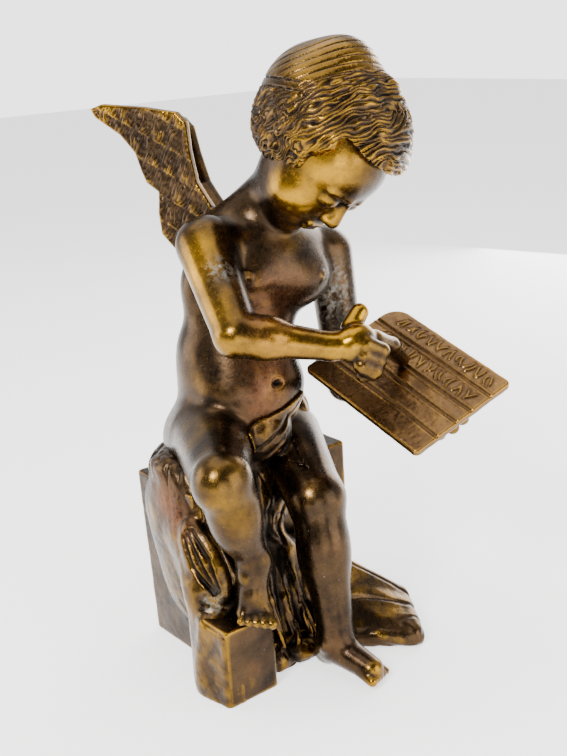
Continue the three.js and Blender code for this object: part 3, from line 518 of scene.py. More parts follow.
def trimmed(form):
    """The form cut off along the hairline."""
    low, high, inner = form
    axes = [[float(v) / HEAD_SCALE for v in row] for row in HEAD_AXES]
    cx, cy, cz = map(float, HEAD_CENTRE)

    def distance(x, y, z):
        px, py, pz = x - cx, y - cy, z - cz
        _, crown, front = [px * a + py * b + pz * c for a, b, c in axes]
        brow = np.minimum(front - 14.5 + 1.5 * np.sin(crown / 3), 31 - crown)
        nape = 0.42 * np.minimum(front, 0) - 23 - crown
        return np.maximum(inner(x, y, z), np.maximum(brow, nape) * HEAD_SCALE)

    return low, high, distance


FINE_PITCH, BROAD_PITCH, CURL_PITCH = 2.5, 4.6, 2.7
hair = Sculpture()
for centre, radii, width in (
    ([0.5, 10.5, -9], [41.5, 39.5, 45], 2),
    ([-4, 19, 12], [36, 27, 28], 12),
    ([6, 33, -28], [19, 16, 15], 10),
    ([7, -12, -14], [26, 18, 23], 8),
):
    hair.put(trimmed(swelling(in_head(*centre), radii, HEAD_AXES, HEAD_SCALE)), width)
hair.put(limb(in_head(-3, 46.5, -6), in_head(-5, 42.5, 14), 4, 5), 12)
CURLS = []
for i in range(4):
    away = abs(i - 1.5)
    CURLS.append(np.array([-19 + 11.4 * i, 33 - 1.5 * away, 25 - 1.7 * (i - 2) ** 2]))
    hair.put(swelling(in_head(*CURLS[-1]), [7.5, 6, 6], HEAD_AXES, HEAD_SCALE), 2)


def hair_relief(points):
    """Height of the strands, in millimetres, from -1 in a groove to 0 on a ridge."""
    side, crown, front = head_coordinates(points)
    local = np.stack([side, crown, front], 1)
    band = (front - 0.87 * crown + 37.2) / 1.325
    above = np.clip(-band, 0, 1) * np.clip((-14 - front) / 3, 0, 1)
    stretched = local * [0.35, 0.35, 1.0]
    sway = 0.8 * np.sin(crown / 5.2 + 0.25 * front) + 1.1 * noise(local, 11, 3)
    low = np.clip((16 - crown) / 14, 0, 1)
    curly = front + (1 + 1.2 * low) * sway + (1.7 + 1.4 * low) * noise(stretched, 2.6, 8)
    curly = curly + (0.8 + 2.2 * low) * noise(local, 5, 9)
    fine = np.abs(np.sin(np.pi * curly / FINE_PITCH)) ** 0.9
    straight = front - 0.12 * (crown - 20) + 0.5 * noise(local, 14, 5)
    broad = np.clip(3.2 * np.abs(np.sin(np.pi * straight / BROAD_PITCH)), 0, 1)
    depth = 0.8 + 0.35 * noise(stretched, 4, 7)
    height = 1.6 * (fine - 1) * depth * (1 - above) + 0.8 * (broad - 1) * above
    height += 0.5 * (1 - above) * noise(stretched, 1.9, 10)
    ends = np.clip((19 - crown) / 2, 0, 1)
    for offset in (0.0, 4.6):
        height -= 0.9 * ends * np.exp(-(((band - offset) / 0.55) ** 2))
    inside_band = np.clip(band, 0, 1) * np.clip(4.6 - band, 0, 1) * ends
    height = height * (1 - inside_band) - 0.1 * inside_band
    for number, centre in enumerate(CURLS):
        u, v = local[:, 0] - centre[0], local[:, 2] - centre[2] + 0.6 * (local[:, 1] - centre[1])
        u = u + (3.5 if number % 2 else -3.0)
        v = v + 2.5
        reach = np.hypot(0.8 * u, v) + 0.4 * noise(local, 4, 4)
        open_side = np.clip(0.8 + np.cos(np.arctan2(v, u) - 1.3 - 0.7 * number), 0, 1)
        near = np.clip((8 - reach) / 2, 0, 1) * np.clip((reach - 1.5) / 1.5, 0, 1) * open_side
        rings = np.abs(np.sin(np.pi * reach / CURL_PITCH))
        height = height * (1 - near) + near * 1.6 * (rings - 1)
    return height


print("curls over the brow:", len(CURLS))

# %% [markdown]
# ## Wings
# Each wing is an outline in its own upright plane, as thick as a plate, thicker at the root.
# Rows of feathers lap each other; between the rows the surface is matted with short barbs.
# Two shifted copies of the far wing stand in the space between the wings. The solid has no
# such copies, and they should come out again.

# %% Wings
WING_OUTLINE = np.array(
    [
        [0, 226], [18, 222], [30, 228], [38, 236], [39.5, 248], [38.5, 260], [46, 265],
        [49, 272], [52, 282], [61, 292], [77, 302], [80, 307], [72, 309.5], [44, 307.5],
        [23, 304.5], [17, 299], [16, 283], [13, 266], [4, 252], [-6, 246],
    ],
    float,
)  # fmt: skip
WINGS = [
    {"root": (2, 10), "heading": (-0.42, 0.907), "sweep": 0, "drop": 0},
    {"root": (10.5, 11), "heading": (-0.1, 0.995), "sweep": 14, "drop": 5},
]
FAR_WING_COPIES = [(7.9, 11), (12.0, 11)]
FEATHER_ROW, QUILL_PITCH, BARB_PITCH = 15, 10, 2.3


def wing_plane(x, y, z, wing):
    """Distance back along the wing, height up it and distance to its plane."""
    hx, hy = map(float, unit(wing["heading"]))
    px, py = x - wing["root"][0], y - wing["root"][1]
    rise = np.clip((z - 235) / 62, 0, 1.2)
    back = px * hx + py * hy - wing["sweep"] * rise
    return back, z + wing["drop"] * rise, px * hy - py * hx


def outline_distance(px, py):
    """Distance to the wing's outline, negative inside it."""
    nearest, inside = None, False
    for (ax, ay), (bx, by) in zip(WING_OUTLINE, np.roll(WING_OUTLINE, -1, axis=0)):
        ex, ey = float(bx - ax), float(by - ay)
        wx, wy = px - float(ax), py - float(ay)
        t = np.clip((wx * ex + wy * ey) / (ex * ex + ey * ey), 0, 1)
        away = (wx - ex * t) ** 2 + (wy - ey * t) ** 2
        nearest = away if nearest is None else np.minimum(nearest, away)
        if ey != 0:
            inside = inside ^ (((ay > py) != (by > py)) & (px < ax + ex * wy / ey))
    return np.where(inside, -1, 1) * np.sqrt(nearest)


def wing_form(wing):
    """A plate with the wing's outline and round edges."""

    def distance(x, y, z):
        back, height, off = wing_plane(x, y, z, wing)
        half = WING_THICKNESS / 2 * (1 + 0.6 * np.clip((255 - z) / 30, 0, 1)) - 0.6
        edge = outline_distance(back, height) + 1.2
        face = np.abs(off) - half + 1.2
        out = np.sqrt(np.maximum(edge, 0) ** 2 + np.maximum(face, 0) ** 2)
        return (out + np.minimum(np.maximum(edge, face), 0) - 1.2).astype(np.float32)

    return np.array([-42, -5, 212.0]), np.array([24, 98, 316.0]), distance


wings = Sculpture()
for wing in WINGS:
    wings.put(wing_form(wing), 2)
for root in FAR_WING_COPIES:
    wings.put(wing_form({**WINGS[1], "root": root}), 2)


def wing_relief(points):
    """Lapped rows of feathers with matted barbs, in millimetres."""
    x, y, z = points.T
    planes = [wing_plane(x, y, z, wing) for wing in WINGS]
    first = np.abs(planes[0][2]) < np.abs(planes[1][2])
    back, height = (np.where(first, planes[0][i], planes[1][i]) for i in (0, 1))
    row = (height - 0.5 * back) / FEATHER_ROW
    along = row - np.floor(row)
    quill = np.abs(np.sin(np.pi * (back / QUILL_PITCH + 0.5 * (np.floor(row) % 2))))
    barb_line = back * 0.8 + height * 0.55 + 2.4 * noise(points, 7, 11)
    barbs = np.abs(np.sin(np.pi * barb_line / BARB_PITCH)) * (0.6 + 0.4 * noise(points, 3, 12))
    rim = np.clip(-outline_distance(back, height) / 3, 0, 1)
    return rim * (0.5 * quill - 0.6 * along + 0.8 * barbs + 0.3 * noise(points, 2.2, 13) - 0.5)


print("wing reach:", WING_OUTLINE[:, 0].max(), "mm back from the spine")

# %% [markdown]
# ## Drapery
# Cloth lies on the seat, hangs over its side to the step, fills the space behind the shins
# and runs out over the ground. Folds are bent rods that fan out from where the cloth is held.

# %% Drapery
cloth = Sculpture()


def ridge(a, b, c, radius, width=2.5):
    """A fold: two rods that meet in the middle."""
    cloth.put(limb(a, b, radius, radius), width)
    cloth.put(limb(b, c, radius, 0.7 * radius), width)


LOINCLOTH = [(-28, 138), (17, 150.4), (10, 130), (-1, 114), (-27, 126)]
LEAF_TOP, LEAF_END = np.array([-61.0, -25, 90]), np.array([-59.0, -53, 53])
LEAF_RADII = [25, 12, 7]
body_grid = Grid(body, 0.8, 0.0)


def draped(thickness):
    """A sheet on the skin, inside the loincloth's five straight edges seen from the front."""

    def distance(x, y, z):
        shape = np.broadcast_shapes(x.shape, y.shape, z.shape)
        points = np.stack([np.broadcast_to(v, shape).ravel() for v in (x, y, z)], 1).astype(float)
        skin = body_grid.sample(points).reshape(shape) - thickness
        region = y + 24
        for (ax, az), (bx, bz) in zip(LOINCLOTH, np.roll(LOINCLOTH, -1, axis=0)):
            ex, ez = unit([bx - ax, bz - az])
            region = np.maximum(region, (z - az) * float(ex) - (x - ax) * float(ez))
        return np.maximum(skin, region).astype(np.float32)

    return np.array([-28, -56, 114.0]), np.array([17, -24, 150.4]), distance


def make_drapery():
    """The large masses of the cloth."""
    for centre, radii in (
        ([-22, 2, 112], [38, 32, 13]),
        ([14, -8, 110], [34, 28, 12]),
        ([24, -6, 128], [17, 20, 18]),
        ([-9, -31, 130], [18, 14, 16]),
    ):
        cloth.put(swelling(centre, radii), 5)
    cloth.put(draped(1.7), 2)
    cloth.put(swelling([-16, -29, 88], [26, 10, 26]), 6)
    cloth.put(swelling([-53.5, -3, 0.815 * SEAT[2]], [8.5, 30, 32]), 6)
    cloth.put(swelling([-53.5, -10, 0.55 * SEAT[2]], [8.5, 27, 38]), 8)
    corner = np.array([STEP_CENTRE[0] + 1.2, -36.5, 52.8])
    cloth.put(limb(on_step(-2.5, 12.3, -40), corner, 17, 14), 8)
    cloth.put(limb(corner, [-52, -17.5, 0.74 * SEAT[2]], 14, 12), 8)
    cloth.put(block([-68.3, -60.6, 18], [12.2, 23.4, 52], 2.5), 12)
    for x, top, foot in ((-22, 60, 18), (-7, 56, 14), (14, 50, 12)):
        cloth.put(limb([x, -34, top], [x - 2, -42, foot], 12, 14), 8)
    cloth.put(limb([-34, -57, 4], [-2, -60, 4], 8, 8), 5)
    for i in range(6):
        start = lerp([16, -40, 46], [6, -58, 7], i / 5)
        end = lerp([60, -66, 12], [43, -95, 5], i / 5)
        end[2] += 0.7 * (-1) ** i
        cloth.put(limb(start, end, 8.8, 6.4), 4)
    cloth.put(limb([58.5, -67, 9], [44, -93, 6], 6, 5.5), 4)


def make_folds():
    """Folds over the seat's side, behind the shins and in the loincloth."""
    along = unit(LEAF_END - LEAF_TOP)
    across = unit(np.cross(along, [-0.85, -0.5, 0.1]))
    outward = np.cross(across, along)
    leaf = swelling(lerp(LEAF_TOP, LEAF_END, 0.5), LEAF_RADII, [along, across, outward])
    cloth.put(leaf, 3)
    for shift in (-5.5, 0, 5.5):
        places = []
        crown_lift = 7 - 0.1 * abs(shift)
        for share, wide, lift in ((0.12, 0.5, 4.9), (0.5, 1, crown_lift), (0.9, 0.3, 4.2)):
            aside = across * wide * shift + outward * lift
            places.append(lerp(LEAF_TOP, LEAF_END, share) + aside)
        cloth.hollow(limb(places[0], places[1], 1.0, 1.5), 1.5)
        cloth.hollow(limb(places[1], places[2], 1.5, 1.0), 1.5)
    for i in range(5):
        start, middle = [-35 + 9 * i, -39, 68 - 3 * i], [-37 + 10 * i, -51, 42 - 3 * i]
        ridge(start, middle, [-38 + 11 * i, -61, 14], 3.75)


def creases(points, along, seed, width=6.0, length=34.0):
    """Grooves that wander along a direction: deep where stretched noise passes zero."""
    along = unit(along)
    level = points @ along
    across = points - level[:, None] * along
    value = noise(across / width + (level / length)[:, None] * along, 1.0, seed)
    return -np.exp(-((value / 0.16) ** 2))


def cloth_relief(points):
    """Fine creases along the folds, in millimetres."""
    x, y, z = points.T
    lap = np.clip((z - 108) / 4, 0, 1) * np.clip((-30 - y) / 4, 0, 1)
    turn = np.arctan2(z - 154, x - 22)
    reach = np.hypot(z - 154, x - 22)
    fan = noise(np.stack([turn / 0.1, reach / 26, 0 * turn], 1), 1.0, 21)
    gathered = -np.exp(-((fan / 0.26) ** 2))
    smooth = np.clip((-50 - x) / 5, 0, 1) * np.clip((112 - z) / 6, 0, 1)
    ground = np.clip((x - 8) / 6, 0, 1) * np.clip((60 - z) / 6, 0, 1)
    hanging = 1.1 * creases(points, [-0.1, -0.35, -1], 22, 8, 44)
    hanging += 0.4 * creases(points, [0.3, -0.4, -1], 25, 5)
    spread = 0.8 * creases(points, [1.0, -0.55, -0.6], 23, 10, 60)
    height = hanging * (1 - ground) * (1 - 0.9 * smooth) + spread * ground
    height = height * (1 - lap) + lap * 1.1 * gathered
    return height + 0.2 * noise(points, 5, 27) + 0.1 * noise(points, 1.8, 24)


make_drapery()
make_folds()
print("forms in the cloth:", len(cloth.entries))

# %% [markdown]
# ## Blocks
# The seat, the step and the low ground are plain cast blocks with worn edges.

# %% Blocks
blocks = Sculpture()
blocks.put(block([0, 0, SEAT[2] / 2 - 5], SEAT + [0, 0, 10], 1.6, SEAT_FLARE), 0.5)
step_size = STEP + [0, 0, 10]
blocks.put(block(STEP_CENTRE - [0, 0, STEP[2] / 2 + 5], step_size, 1.5), 0.5)
ground_centre = [STEP_CENTRE[0] + STEP[0] / 2 + GROUND[0] / 2 - 1.4, -42.6, GROUND[2] / 2 - 5]
blocks.put(block(ground_centre, GROUND + [0, 0, 10], 1.5), 0.5)


def block_relief(points):
    """The gentle unevenness of a hand-finished casting."""
    return 0.22 * noise(points, 14, 31) + 0.1 * noise(points, 4, 32)


print("blocks:", len(blocks.entries))

# %% [markdown]
# ## Tablet
# The tablet is made in its own frame, with its written face at the height 0, and is then
# turned into place. Ruled lines are grooves with a thin lip on each side. The writing is two
# rows of raised strokes that lean this way and that.


# %% Tablet
def tablet_form():
    """A plate with three small round corners and one large one."""
    long, wide, thick = map(float, TABLET)

    def distance(x, y, z):
        px, py = x - long / 2, y - wide / 2
        corner = np.where((px < 0) & (py > 0), TABLET_FAR_CORNER, 3.0)
        qx, qy = np.abs(px) - long / 2 + corner, np.abs(py) - wide / 2 + corner
        plan = np.sqrt(np.maximum(qx, 0) ** 2 + np.maximum(qy, 0) ** 2)
        plan = plan + np.minimum(np.maximum(qx, qy), 0) - corner + 0.9
        face = np.abs(z + thick / 2) - thick / 2 + 0.9
        out = np.sqrt(np.maximum(plan, 0) ** 2 + np.maximum(face, 0) ** 2)
        return (out + np.minimum(np.maximum(plan, face), 0) - 0.9).astype(np.float32)

    return np.array([0, 0, -thick]), np.array([long, wide, 0.0]), distance


def strokes():
    """Middle, direction, half length and bend of every stroke of the two rows."""
    chance = np.random.default_rng(4)
    found = []
    edges = RULES + [1.0]
    for row in (2, 3):
        y = (edges[row] + edges[row + 1]) / 2 * TABLET[1]
        x = TABLET_FAR_CORNER + STROKE_PITCH / 2
        while x < TABLET[0] - STROKE_PITCH / 2:
            for shift in (-STROKE_SPREAD, STROKE_SPREAD):
                lean = np.pi / 2 + chance.uniform(-0.6, 0.6)
                half = chance.uniform(1.8, 3.4)
                bend = chance.uniform(-1.0, 1.0)
                lift = chance.uniform(-1, 1)
                found.append((x + shift, y + lift, lean, half, bend))
            x += STROKE_PITCH
    return found


STROKES = strokes()


def tablet_relief(points):
    """Height of the ruled lines and strokes on the written face, in millimetres."""
    x, y, z = points.T
    top = (z > -0.6).astype(float)
    height = np.zeros(len(points))
    for share in RULES:
        away = y - share * TABLET[1] + 0.25 * np.sin(x / 17 + 9 * share)
        height -= 0.75 * np.exp(-((away / 0.7) ** 2))
        height += 0.3 * np.exp(-(((np.abs(away) - 1.7) / 0.5) ** 2))
    written = np.full(len(points), 9.0)
    for sx, sy, lean, half, bend in STROKES:
        near = (np.abs(x - sx) < 5) & (np.abs(y - sy) < 5)
        u = (x[near] - sx) * np.cos(lean) + (y[near] - sy) * np.sin(lean)
        v = -(x[near] - sx) * np.sin(lean) + (y[near] - sy) * np.cos(lean)
        v = v - bend * (1 - (u / half) ** 2)
        away = np.hypot(np.maximum(np.abs(u) - half, 0), v)
        written[near] = np.minimum(written[near], away)
    raised = 0.55 * np.exp(-((written / 0.6) ** 2))
    sunk = 0.25 * np.exp(-(((written - 1.3) / 0.5) ** 2))
    height += raised - sunk
    return top * height + 0.12 * noise(points, 5, 41) + 0.06 * noise(points, 1.6, 42)


tablet = Sculpture()
tablet.put(tablet_form(), 0.5)
print("strokes:", len(STROKES))

# %% [markdown]
# ## Wear, painted highlights and painted shade
# Hands have worn the high places to gold; the gold patches also paint highlights, and patches of
# negative strength are painted shade. The hollows are darkened with painted shade and dirt.
# Each mark is a soft round patch, strength times exp(-(distance / radius)^2).

# %% Wear, painted highlights and painted shade
# Patches of gold: wear on the high places, which also paints highlights.
RUBBED_AND_LIGHT_PATCHES = [
    ([-40, -28, 239], 11, 1.0), ([-47, -30, 222], 12, 1.1), ([-50, -48, 210], 12, 0.8),
    ([-51, -66, 199], 11, 0.6), ([-31, -79, 196], 14, 0.85), ([-2, -95, 198], 14, 1.2),
    ([12, -92, 205], 8, 1.1), ([-1, -56, 260], 15, 1.4), ([8, -78, 278], 15, 1.1),
    ([19, -40, 243], 9, 0.9), ([19, -64, 252], 6, 0.9), ([-69, -74, 136], 10, 0.45),
    ([-70, -76, 117], 10, 0.5), ([-58, -30, 140], 18, 0.35), ([-15, -29, 241], 9, 0.3),
    ([-10, -80, 69], 12, 0.2), ([-5, -93, 22], 8, 0.3), ([-4, -112, 11], 8, 0.5),
    ([-30, 71, 306], 10, 0.8), ([-12, 34, 303], 9, 0.4), ([-62, 10, 84], 8, 0.9),
    ([-56, -82, 52], 6, 0.25), ([-52, -72, 78], 9, 0.2), ([-44, -10, 170], 12, 0.2),
    # Patches of negative strength take the gold away: painted shade.
    ([-7, -83, 56], 18, -0.6), ([0, -78, 82], 12, -0.4), ([-6, -96, 16], 16, -0.6),
    ([-2, -24, 262], 14, -0.6),
    ([-48, 6, 106], 22, -0.8), ([-50, -73, 30], 16, -0.3), ([24, -44, 112], 20, -0.4),
    ([-60, -6, 90], 18, -0.3), ([-56, -82, 78], 12, -0.3), ([46, -38, 205], 18, -0.4),
    (in_head(20, -22, -10), 14, -0.5), (in_head(34, 0, -22), 12, -0.5),
]  # fmt: skip
COPPER = [
    ([-35, -78, 204], 12, 1.0), ([-28, -82, 198], 12, 0.7), ([-4, -42, 172], 16, 0.7),
    ([-2, -38, 205], 18, 0.45), ([-16, -38, 148], 12, 0.5), ([-60, -4, 98], 12, 0.7),
    ([-60, -20, 84], 12, 0.6),
]  # fmt: skip
RESIDUE = [
    ([-38, -42, 231], 6, 0.9), ([-33, -43, 222], 5, 0.7), ([42, -31, 203], 13, 0.8),
    ([36, -36, 190], 9, 0.6), ([-34, -48, 141], 7, 0.7), ([-64, -50, 52], 5, 1.3),
    ([-60, -42, 58], 4, 0.8), ([-66, -42, 135], 3, 0.8), ([24, -34, 150], 8, 0.5),
    (in_head(25.6, -18.9, -12.7), 2.6, 3.0),
]  # fmt: skip


def patches(points, marks):
    """The sum of all soft patches at each point."""
    total = np.zeros(len(points))
    for centre, radius, strength in marks:
        away = ((points - np.array(centre)) ** 2).sum(1)
        total += strength * np.exp(-away / radius**2)
    return total


def wear_and_light_masks(points, convexity, crest, base, response):
    """Worn gold with painted highlights, copper, painted shade with dirt in the hollows, and
    residue, from 0 to 1 for each vertex.
    """
    mottle = noise(points, 11, 51) + 0.5 * noise(points, 4, 52)
    streak = noise(points * [1.0, 1.0, 0.4], 3.5, 54)
    # Gold from wear on raised places and ridges, which also paints highlights.
    polish_and_highlight = base + response * convexity + patches(points, RUBBED_AND_LIGHT_PATCHES) * (0.72 + 0.3 * mottle)
    polish_and_highlight += 1.1 * np.clip(crest - 0.2, -0.6, 1) + 0.1 * mottle + 0.05 * streak
    copper = patches(points, COPPER) + 0.12 * mottle
    # Hollows and the grooves between strands are darkened: painted shade, with dirt.
    shade_and_grime = -1.1 * convexity - 1.2 * crest + 0.1 * mottle
    residue = patches(points, RESIDUE) * (0.6 + 0.5 * noise(points, 1.6, 53))
    masks = {"polish_and_highlight": polish_and_highlight, "copper": copper, "shade_and_grime": shade_and_grime, "residue": residue}
    return {key: np.clip(value, 0, 1) for key, value in masks.items()}


# %% [markdown]
# ## Bronze
# One shader serves both pieces. The brown patina, the copper tint and the polished gold, which
# also paints highlights, are mixed by the masks; the painted shade and dirt in the hollows is dark
# and dull.


# %% Bronze
def node(tree, kind, inputs=None, **settings):
    """A node with its settings and the sockets that are linked or set."""
    made = tree.nodes.new(kind)
    for name, value in settings.items():
        setattr(made, name, value)
    for key, value in (inputs or {}).items():
        if isinstance(value, bpy.types.NodeSocket):
            tree.links.new(value, made.inputs[key])
        else:
            made.inputs[key].default_value = value
    return made


def mixed(tree, factor, a, b):
    """Colour a where the factor is 0 and colour b where it is 1."""
    made = node(tree, "ShaderNodeMix", {0: factor, 6: a, 7: b}, data_type="RGBA")
    return made.outputs[2]


def maths(tree, operation, a, b, clamp=False):
    """One sum of two values."""
    made = node(tree, "ShaderNodeMath", {0: a, 1: b}, operation=operation, use_clamp=clamp)
    return made.outputs[0]


def scaled(tree, value, factor, offset, clamp=False):
    """value x factor + offset."""
    inputs = {0: value, 1: factor, 2: offset}
    made = node(tree, "ShaderNodeMath", inputs, operation="MULTIPLY_ADD", use_clamp=clamp)
    return made.outputs[0]


def make_bronze_group():
    """Colour, roughness, metal and height of patinated bronze, from the four masks."""
    tree = bpy.data.node_groups.new("patinated_bronze", "ShaderNodeTree")
    for name in ("Dark", "Brown", "Gold", "Copper"):
        tree.interface.new_socket(name, in_out="INPUT", socket_type="NodeSocketColor")
    tree.interface.new_socket("Color", in_out="OUTPUT", socket_type="NodeSocketColor")
    for name in ("Roughness", "Metallic", "Height"):
        tree.interface.new_socket(name, in_out="OUTPUT", socket_type="NodeSocketFloat")
    given = node(tree, "NodeGroupInput").outputs
    where = node(tree, "ShaderNodeTexCoord").outputs["Object"]
    mask = {
        key: node(tree, "ShaderNodeAttribute", attribute_name=key).outputs["Fac"]
        for key in ("polish_and_highlight", "copper", "shade_and_grime", "residue")
    }

    def speckle(scale, detail):
        inputs = {"Vector": where, "Scale": scale, "Detail": detail, "Roughness": 0.6}
        return node(tree, "ShaderNodeTexNoise", inputs).outputs["Fac"]

    cloud, grain, pits, dust = speckle(60, 6), speckle(380, 5), speckle(1300, 2), speckle(700, 3)
    patina = mixed(tree, scaled(tree, cloud, 2.6, -0.8, True), given["Dark"], given["Brown"])
    tint = maths(tree, "MULTIPLY", mask["copper"], scaled(tree, grain, 2.4, -0.5, True))
    patina = mixed(tree, tint, patina, given["Copper"])
    # Gold of worn places, which also paints highlights.
    uneven = maths(tree, "MULTIPLY", mask["polish_and_highlight"], scaled(tree, grain, 1.2, 0.4))
    gold_and_highlight = maths(tree, "MULTIPLY", uneven, scaled(tree, cloud, 0.8, 0.6), clamp=True)
    colour = mixed(tree, gold_and_highlight, patina, given["Gold"])
    # The hollows go near black and duller: painted shade, with dirt.
    shade_and_soot = maths(tree, "MULTIPLY", mask["shade_and_grime"], 0.9, clamp=True)
    colour = mixed(tree, shade_and_soot, colour, (0.006, 0.005, 0.004, 1))
    dots = scaled(tree, pits, 12.0, -7.9, True)
    colour = mixed(tree, maths(tree, "MULTIPLY", dots, 0.7), colour, (0.008, 0.006, 0.004, 1))
    flecks = maths(tree, "MULTIPLY", scaled(tree, dust, 14.0, -9.6, True), 0.35)
    clumps = scaled(tree, grain, 5.0, -2.2, True)
    crust = maths(tree, "MULTIPLY", mask["residue"], clumps, clamp=True)
    crust = maths(tree, "MAXIMUM", crust, flecks)
    colour = mixed(tree, crust, colour, (0.30, 0.31, 0.28, 1))
    rough = scaled(tree, grain, 0.28, 0.14)
    rough = maths(tree, "ADD", rough, maths(tree, "MULTIPLY", shade_and_soot, 0.25))
    rough = maths(tree, "SUBTRACT", rough, maths(tree, "MULTIPLY", gold_and_highlight, 0.07))
    rough = maths(tree, "ADD", rough, maths(tree, "MULTIPLY", crust, 0.4), clamp=True)
    metal = scaled(tree, crust, -0.9, 1.0)
    bumps, dents = maths(tree, "MULTIPLY", grain, 0.8), maths(tree, "MULTIPLY", dots, 0.6)
    rise = maths(tree, "SUBTRACT", bumps, dents)
    results = {"Color": colour, "Roughness": rough, "Metallic": metal, "Height": rise}
    node(tree, "NodeGroupOutput", results)
    return tree


BRONZE = make_bronze_group()


def bronze(name, dark, brown, gold, copper_tint):
    """A bronze material with its own four colours."""
    material = bpy.data.materials.new(name)
    material.use_nodes = True
    tree = material.node_tree
    tree.nodes.clear()
    inputs = {"Dark": dark, "Brown": brown, "Gold": gold, "Copper": copper_tint}
    made = node(tree, "ShaderNodeGroup", inputs, node_tree=BRONZE)
    height = {"Height": made.outputs["Height"], "Strength": 0.35, "Distance": 0.0004}
    bump = node(tree, "ShaderNodeBump", height)
    inputs = {key: made.outputs[key] for key in ("Roughness", "Metallic")}
    inputs.update({"Base Color": made.outputs["Color"], "Normal": bump.outputs["Normal"]})
    shader = node(tree, "ShaderNodeBsdfPrincipled", inputs)
    shader.inputs["Coat Weight"].default_value = 0.04
    shader.inputs["Coat Roughness"].default_value = 0.2
    node(tree, "ShaderNodeOutputMaterial", {"Surface": shader.outputs["BSDF"]})
    return material


dark_bronze = bronze(
    "dark_bronze",
    (0.019, 0.0125, 0.0085, 1),
    (0.072, 0.041, 0.018, 1),
    (0.33, 0.168, 0.008, 1),
    (0.17, 0.065, 0.027, 1),
)
red_bronze = bronze(
    "red_bronze",
    (0.075, 0.041, 0.019, 1),
    (0.135, 0.072, 0.027, 1),
    (0.30, 0.155, 0.022, 1),
    (0.15, 0.062, 0.028, 1),
)
print("materials:", dark_bronze.name, red_bronze.name)

# %% [markdown]
# ## Meshes
# A net becomes a mesh in metres. A net with too many facets is thinned by merging edges.


# %% Meshes
def placed(name, data):
    """A new object in the scene."""
    made = bpy.data.objects.new(name, data)
    bpy.context.scene.collection.objects.link(made)
    return made


def mesh_object(name, vertices, quads, material):
    """A smooth mesh object at the origin."""
    mesh = bpy.data.meshes.new(name)
    mesh.vertices.add(len(vertices))
    mesh.vertices.foreach_set("co", (vertices / 1000).astype(np.float32).ravel())
    mesh.loops.add(quads.size)
    mesh.loops.foreach_set("vertex_index", quads.astype(np.int32).ravel())
    mesh.polygons.add(len(quads))
    mesh.polygons.foreach_set("loop_start", np.arange(0, quads.size, 4, dtype=np.int32))
    mesh.polygons.foreach_set("loop_total", np.full(len(quads), 4, np.int32))
    mesh.polygons.foreach_set("use_smooth", np.ones(len(quads), bool))
    mesh.update(calc_edges=True)
    made = placed(name, mesh)
    if 2 * len(quads) > TRIANGLE_LIMIT:
        thin = made.modifiers.new("thin", "DECIMATE")
        thin.ratio = TRIANGLE_LIMIT / (2 * len(quads))
        shape = made.evaluated_get(bpy.context.evaluated_depsgraph_get())
        made.modifiers.clear()
        thinner = bpy.data.meshes.new_from_object(shape)
        made.data = thinner
        bpy.data.meshes.remove(mesh)
        thinner.name = name
        thinner.polygons.foreach_set("use_smooth", np.ones(len(thinner.polygons), bool))
    made.data.materials.clear()
    made.data.materials.append(material)
    return made


def write_masks(made, masks):
    """The masks become values on the mesh's vertices."""
    for key, value in masks.items():
        layer = made.data.attributes.new(key, "FLOAT", "POINT")
        layer.data.foreach_set("value", value.astype(np.float32))


def points_of(made):
    """The mesh's vertices in millimetres."""
    flat = np.empty(3 * len(made.data.vertices), np.float32)
    made.data.vertices.foreach_get("co", flat)
    return flat.reshape(-1, 3).astype(float) * 1000


def cast(name, grid, relief, base, response):
    """A sculpture as a dark bronze piece that rides on the statue's body."""
    vertices, quads = stretch_net(grid)
    if relief is not None:
        vertices = vertices + normals_of(vertices, quads) * relief(vertices)[:, None]
    made = mesh_object(name, vertices, quads, dark_bronze)
    points = points_of(made)
    points[:, 2] = np.maximum(points[:, 2], 0)
    made.data.vertices.foreach_set("co", (points / 1000).astype(np.float32).ravel())
    crest = relief(points) if relief is not None else np.zeros(len(points))
    masks = wear_and_light_masks(points, grid.convexity(points, 2.5), crest - crest.mean(), base, response)
    write_masks(made, masks)
    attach(made, "root")
    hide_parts("cherub_on_seat")
    print(name, "has", len(made.data.polygons), "faces")


cast("child", body_grid, None, base=0.19, response=0.3)
cast("hair", Grid(hair, 0.5), hair_relief, base=0.2, response=0.2)
cast("wings", Grid(wings, 0.6), wing_relief, base=0.02, response=0.25)
cast("drapery", Grid(cloth, 0.75, 0.0), cloth_relief, base=0.04, response=0.12)
cast("seat_and_step", Grid(blocks, 0.95, 0.0), block_relief, base=0.02, response=0.45)

tablet_grid = Grid(tablet, 0.42)
flat_points, tablet_quads = stretch_net(tablet_grid)
flat_points += normals_of(flat_points, tablet_quads) * tablet_relief(flat_points)[:, None]
turned = tablet_corner + flat_points @ TABLET_AXES
plate = mesh_object("tablet", turned, tablet_quads, red_bronze)
turned_points = points_of(plate)
flat_points = (turned_points - tablet_corner) @ TABLET_AXES.T
crest = tablet_relief(flat_points)
plate_masks = wear_and_light_masks(turned_points, tablet_grid.convexity(flat_points, 1.5), crest, 0.24, 0.4)
# A little more gold towards the tablet's right edge: wear with a painted highlight.
right_edge_wear_and_highlight = np.clip((flat_points[:, 0] - 60) / 28, 0, 1) * (flat_points[:, 1] / TABLET[1])
plate_masks["polish_and_highlight"] = np.clip(plate_masks["polish_and_highlight"] + 0.05 * right_edge_wear_and_highlight, 0, 1)
write_masks(plate, plate_masks)
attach(plate, "root")
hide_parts("writing_tablet")
print("tablet has", len(plate.data.polygons), "faces")

# %% [markdown]
# ## Studio
# A pale floor and a pale room, with soft lights on both sides, so that the dark metal shows
# bright rims and one broad highlight.


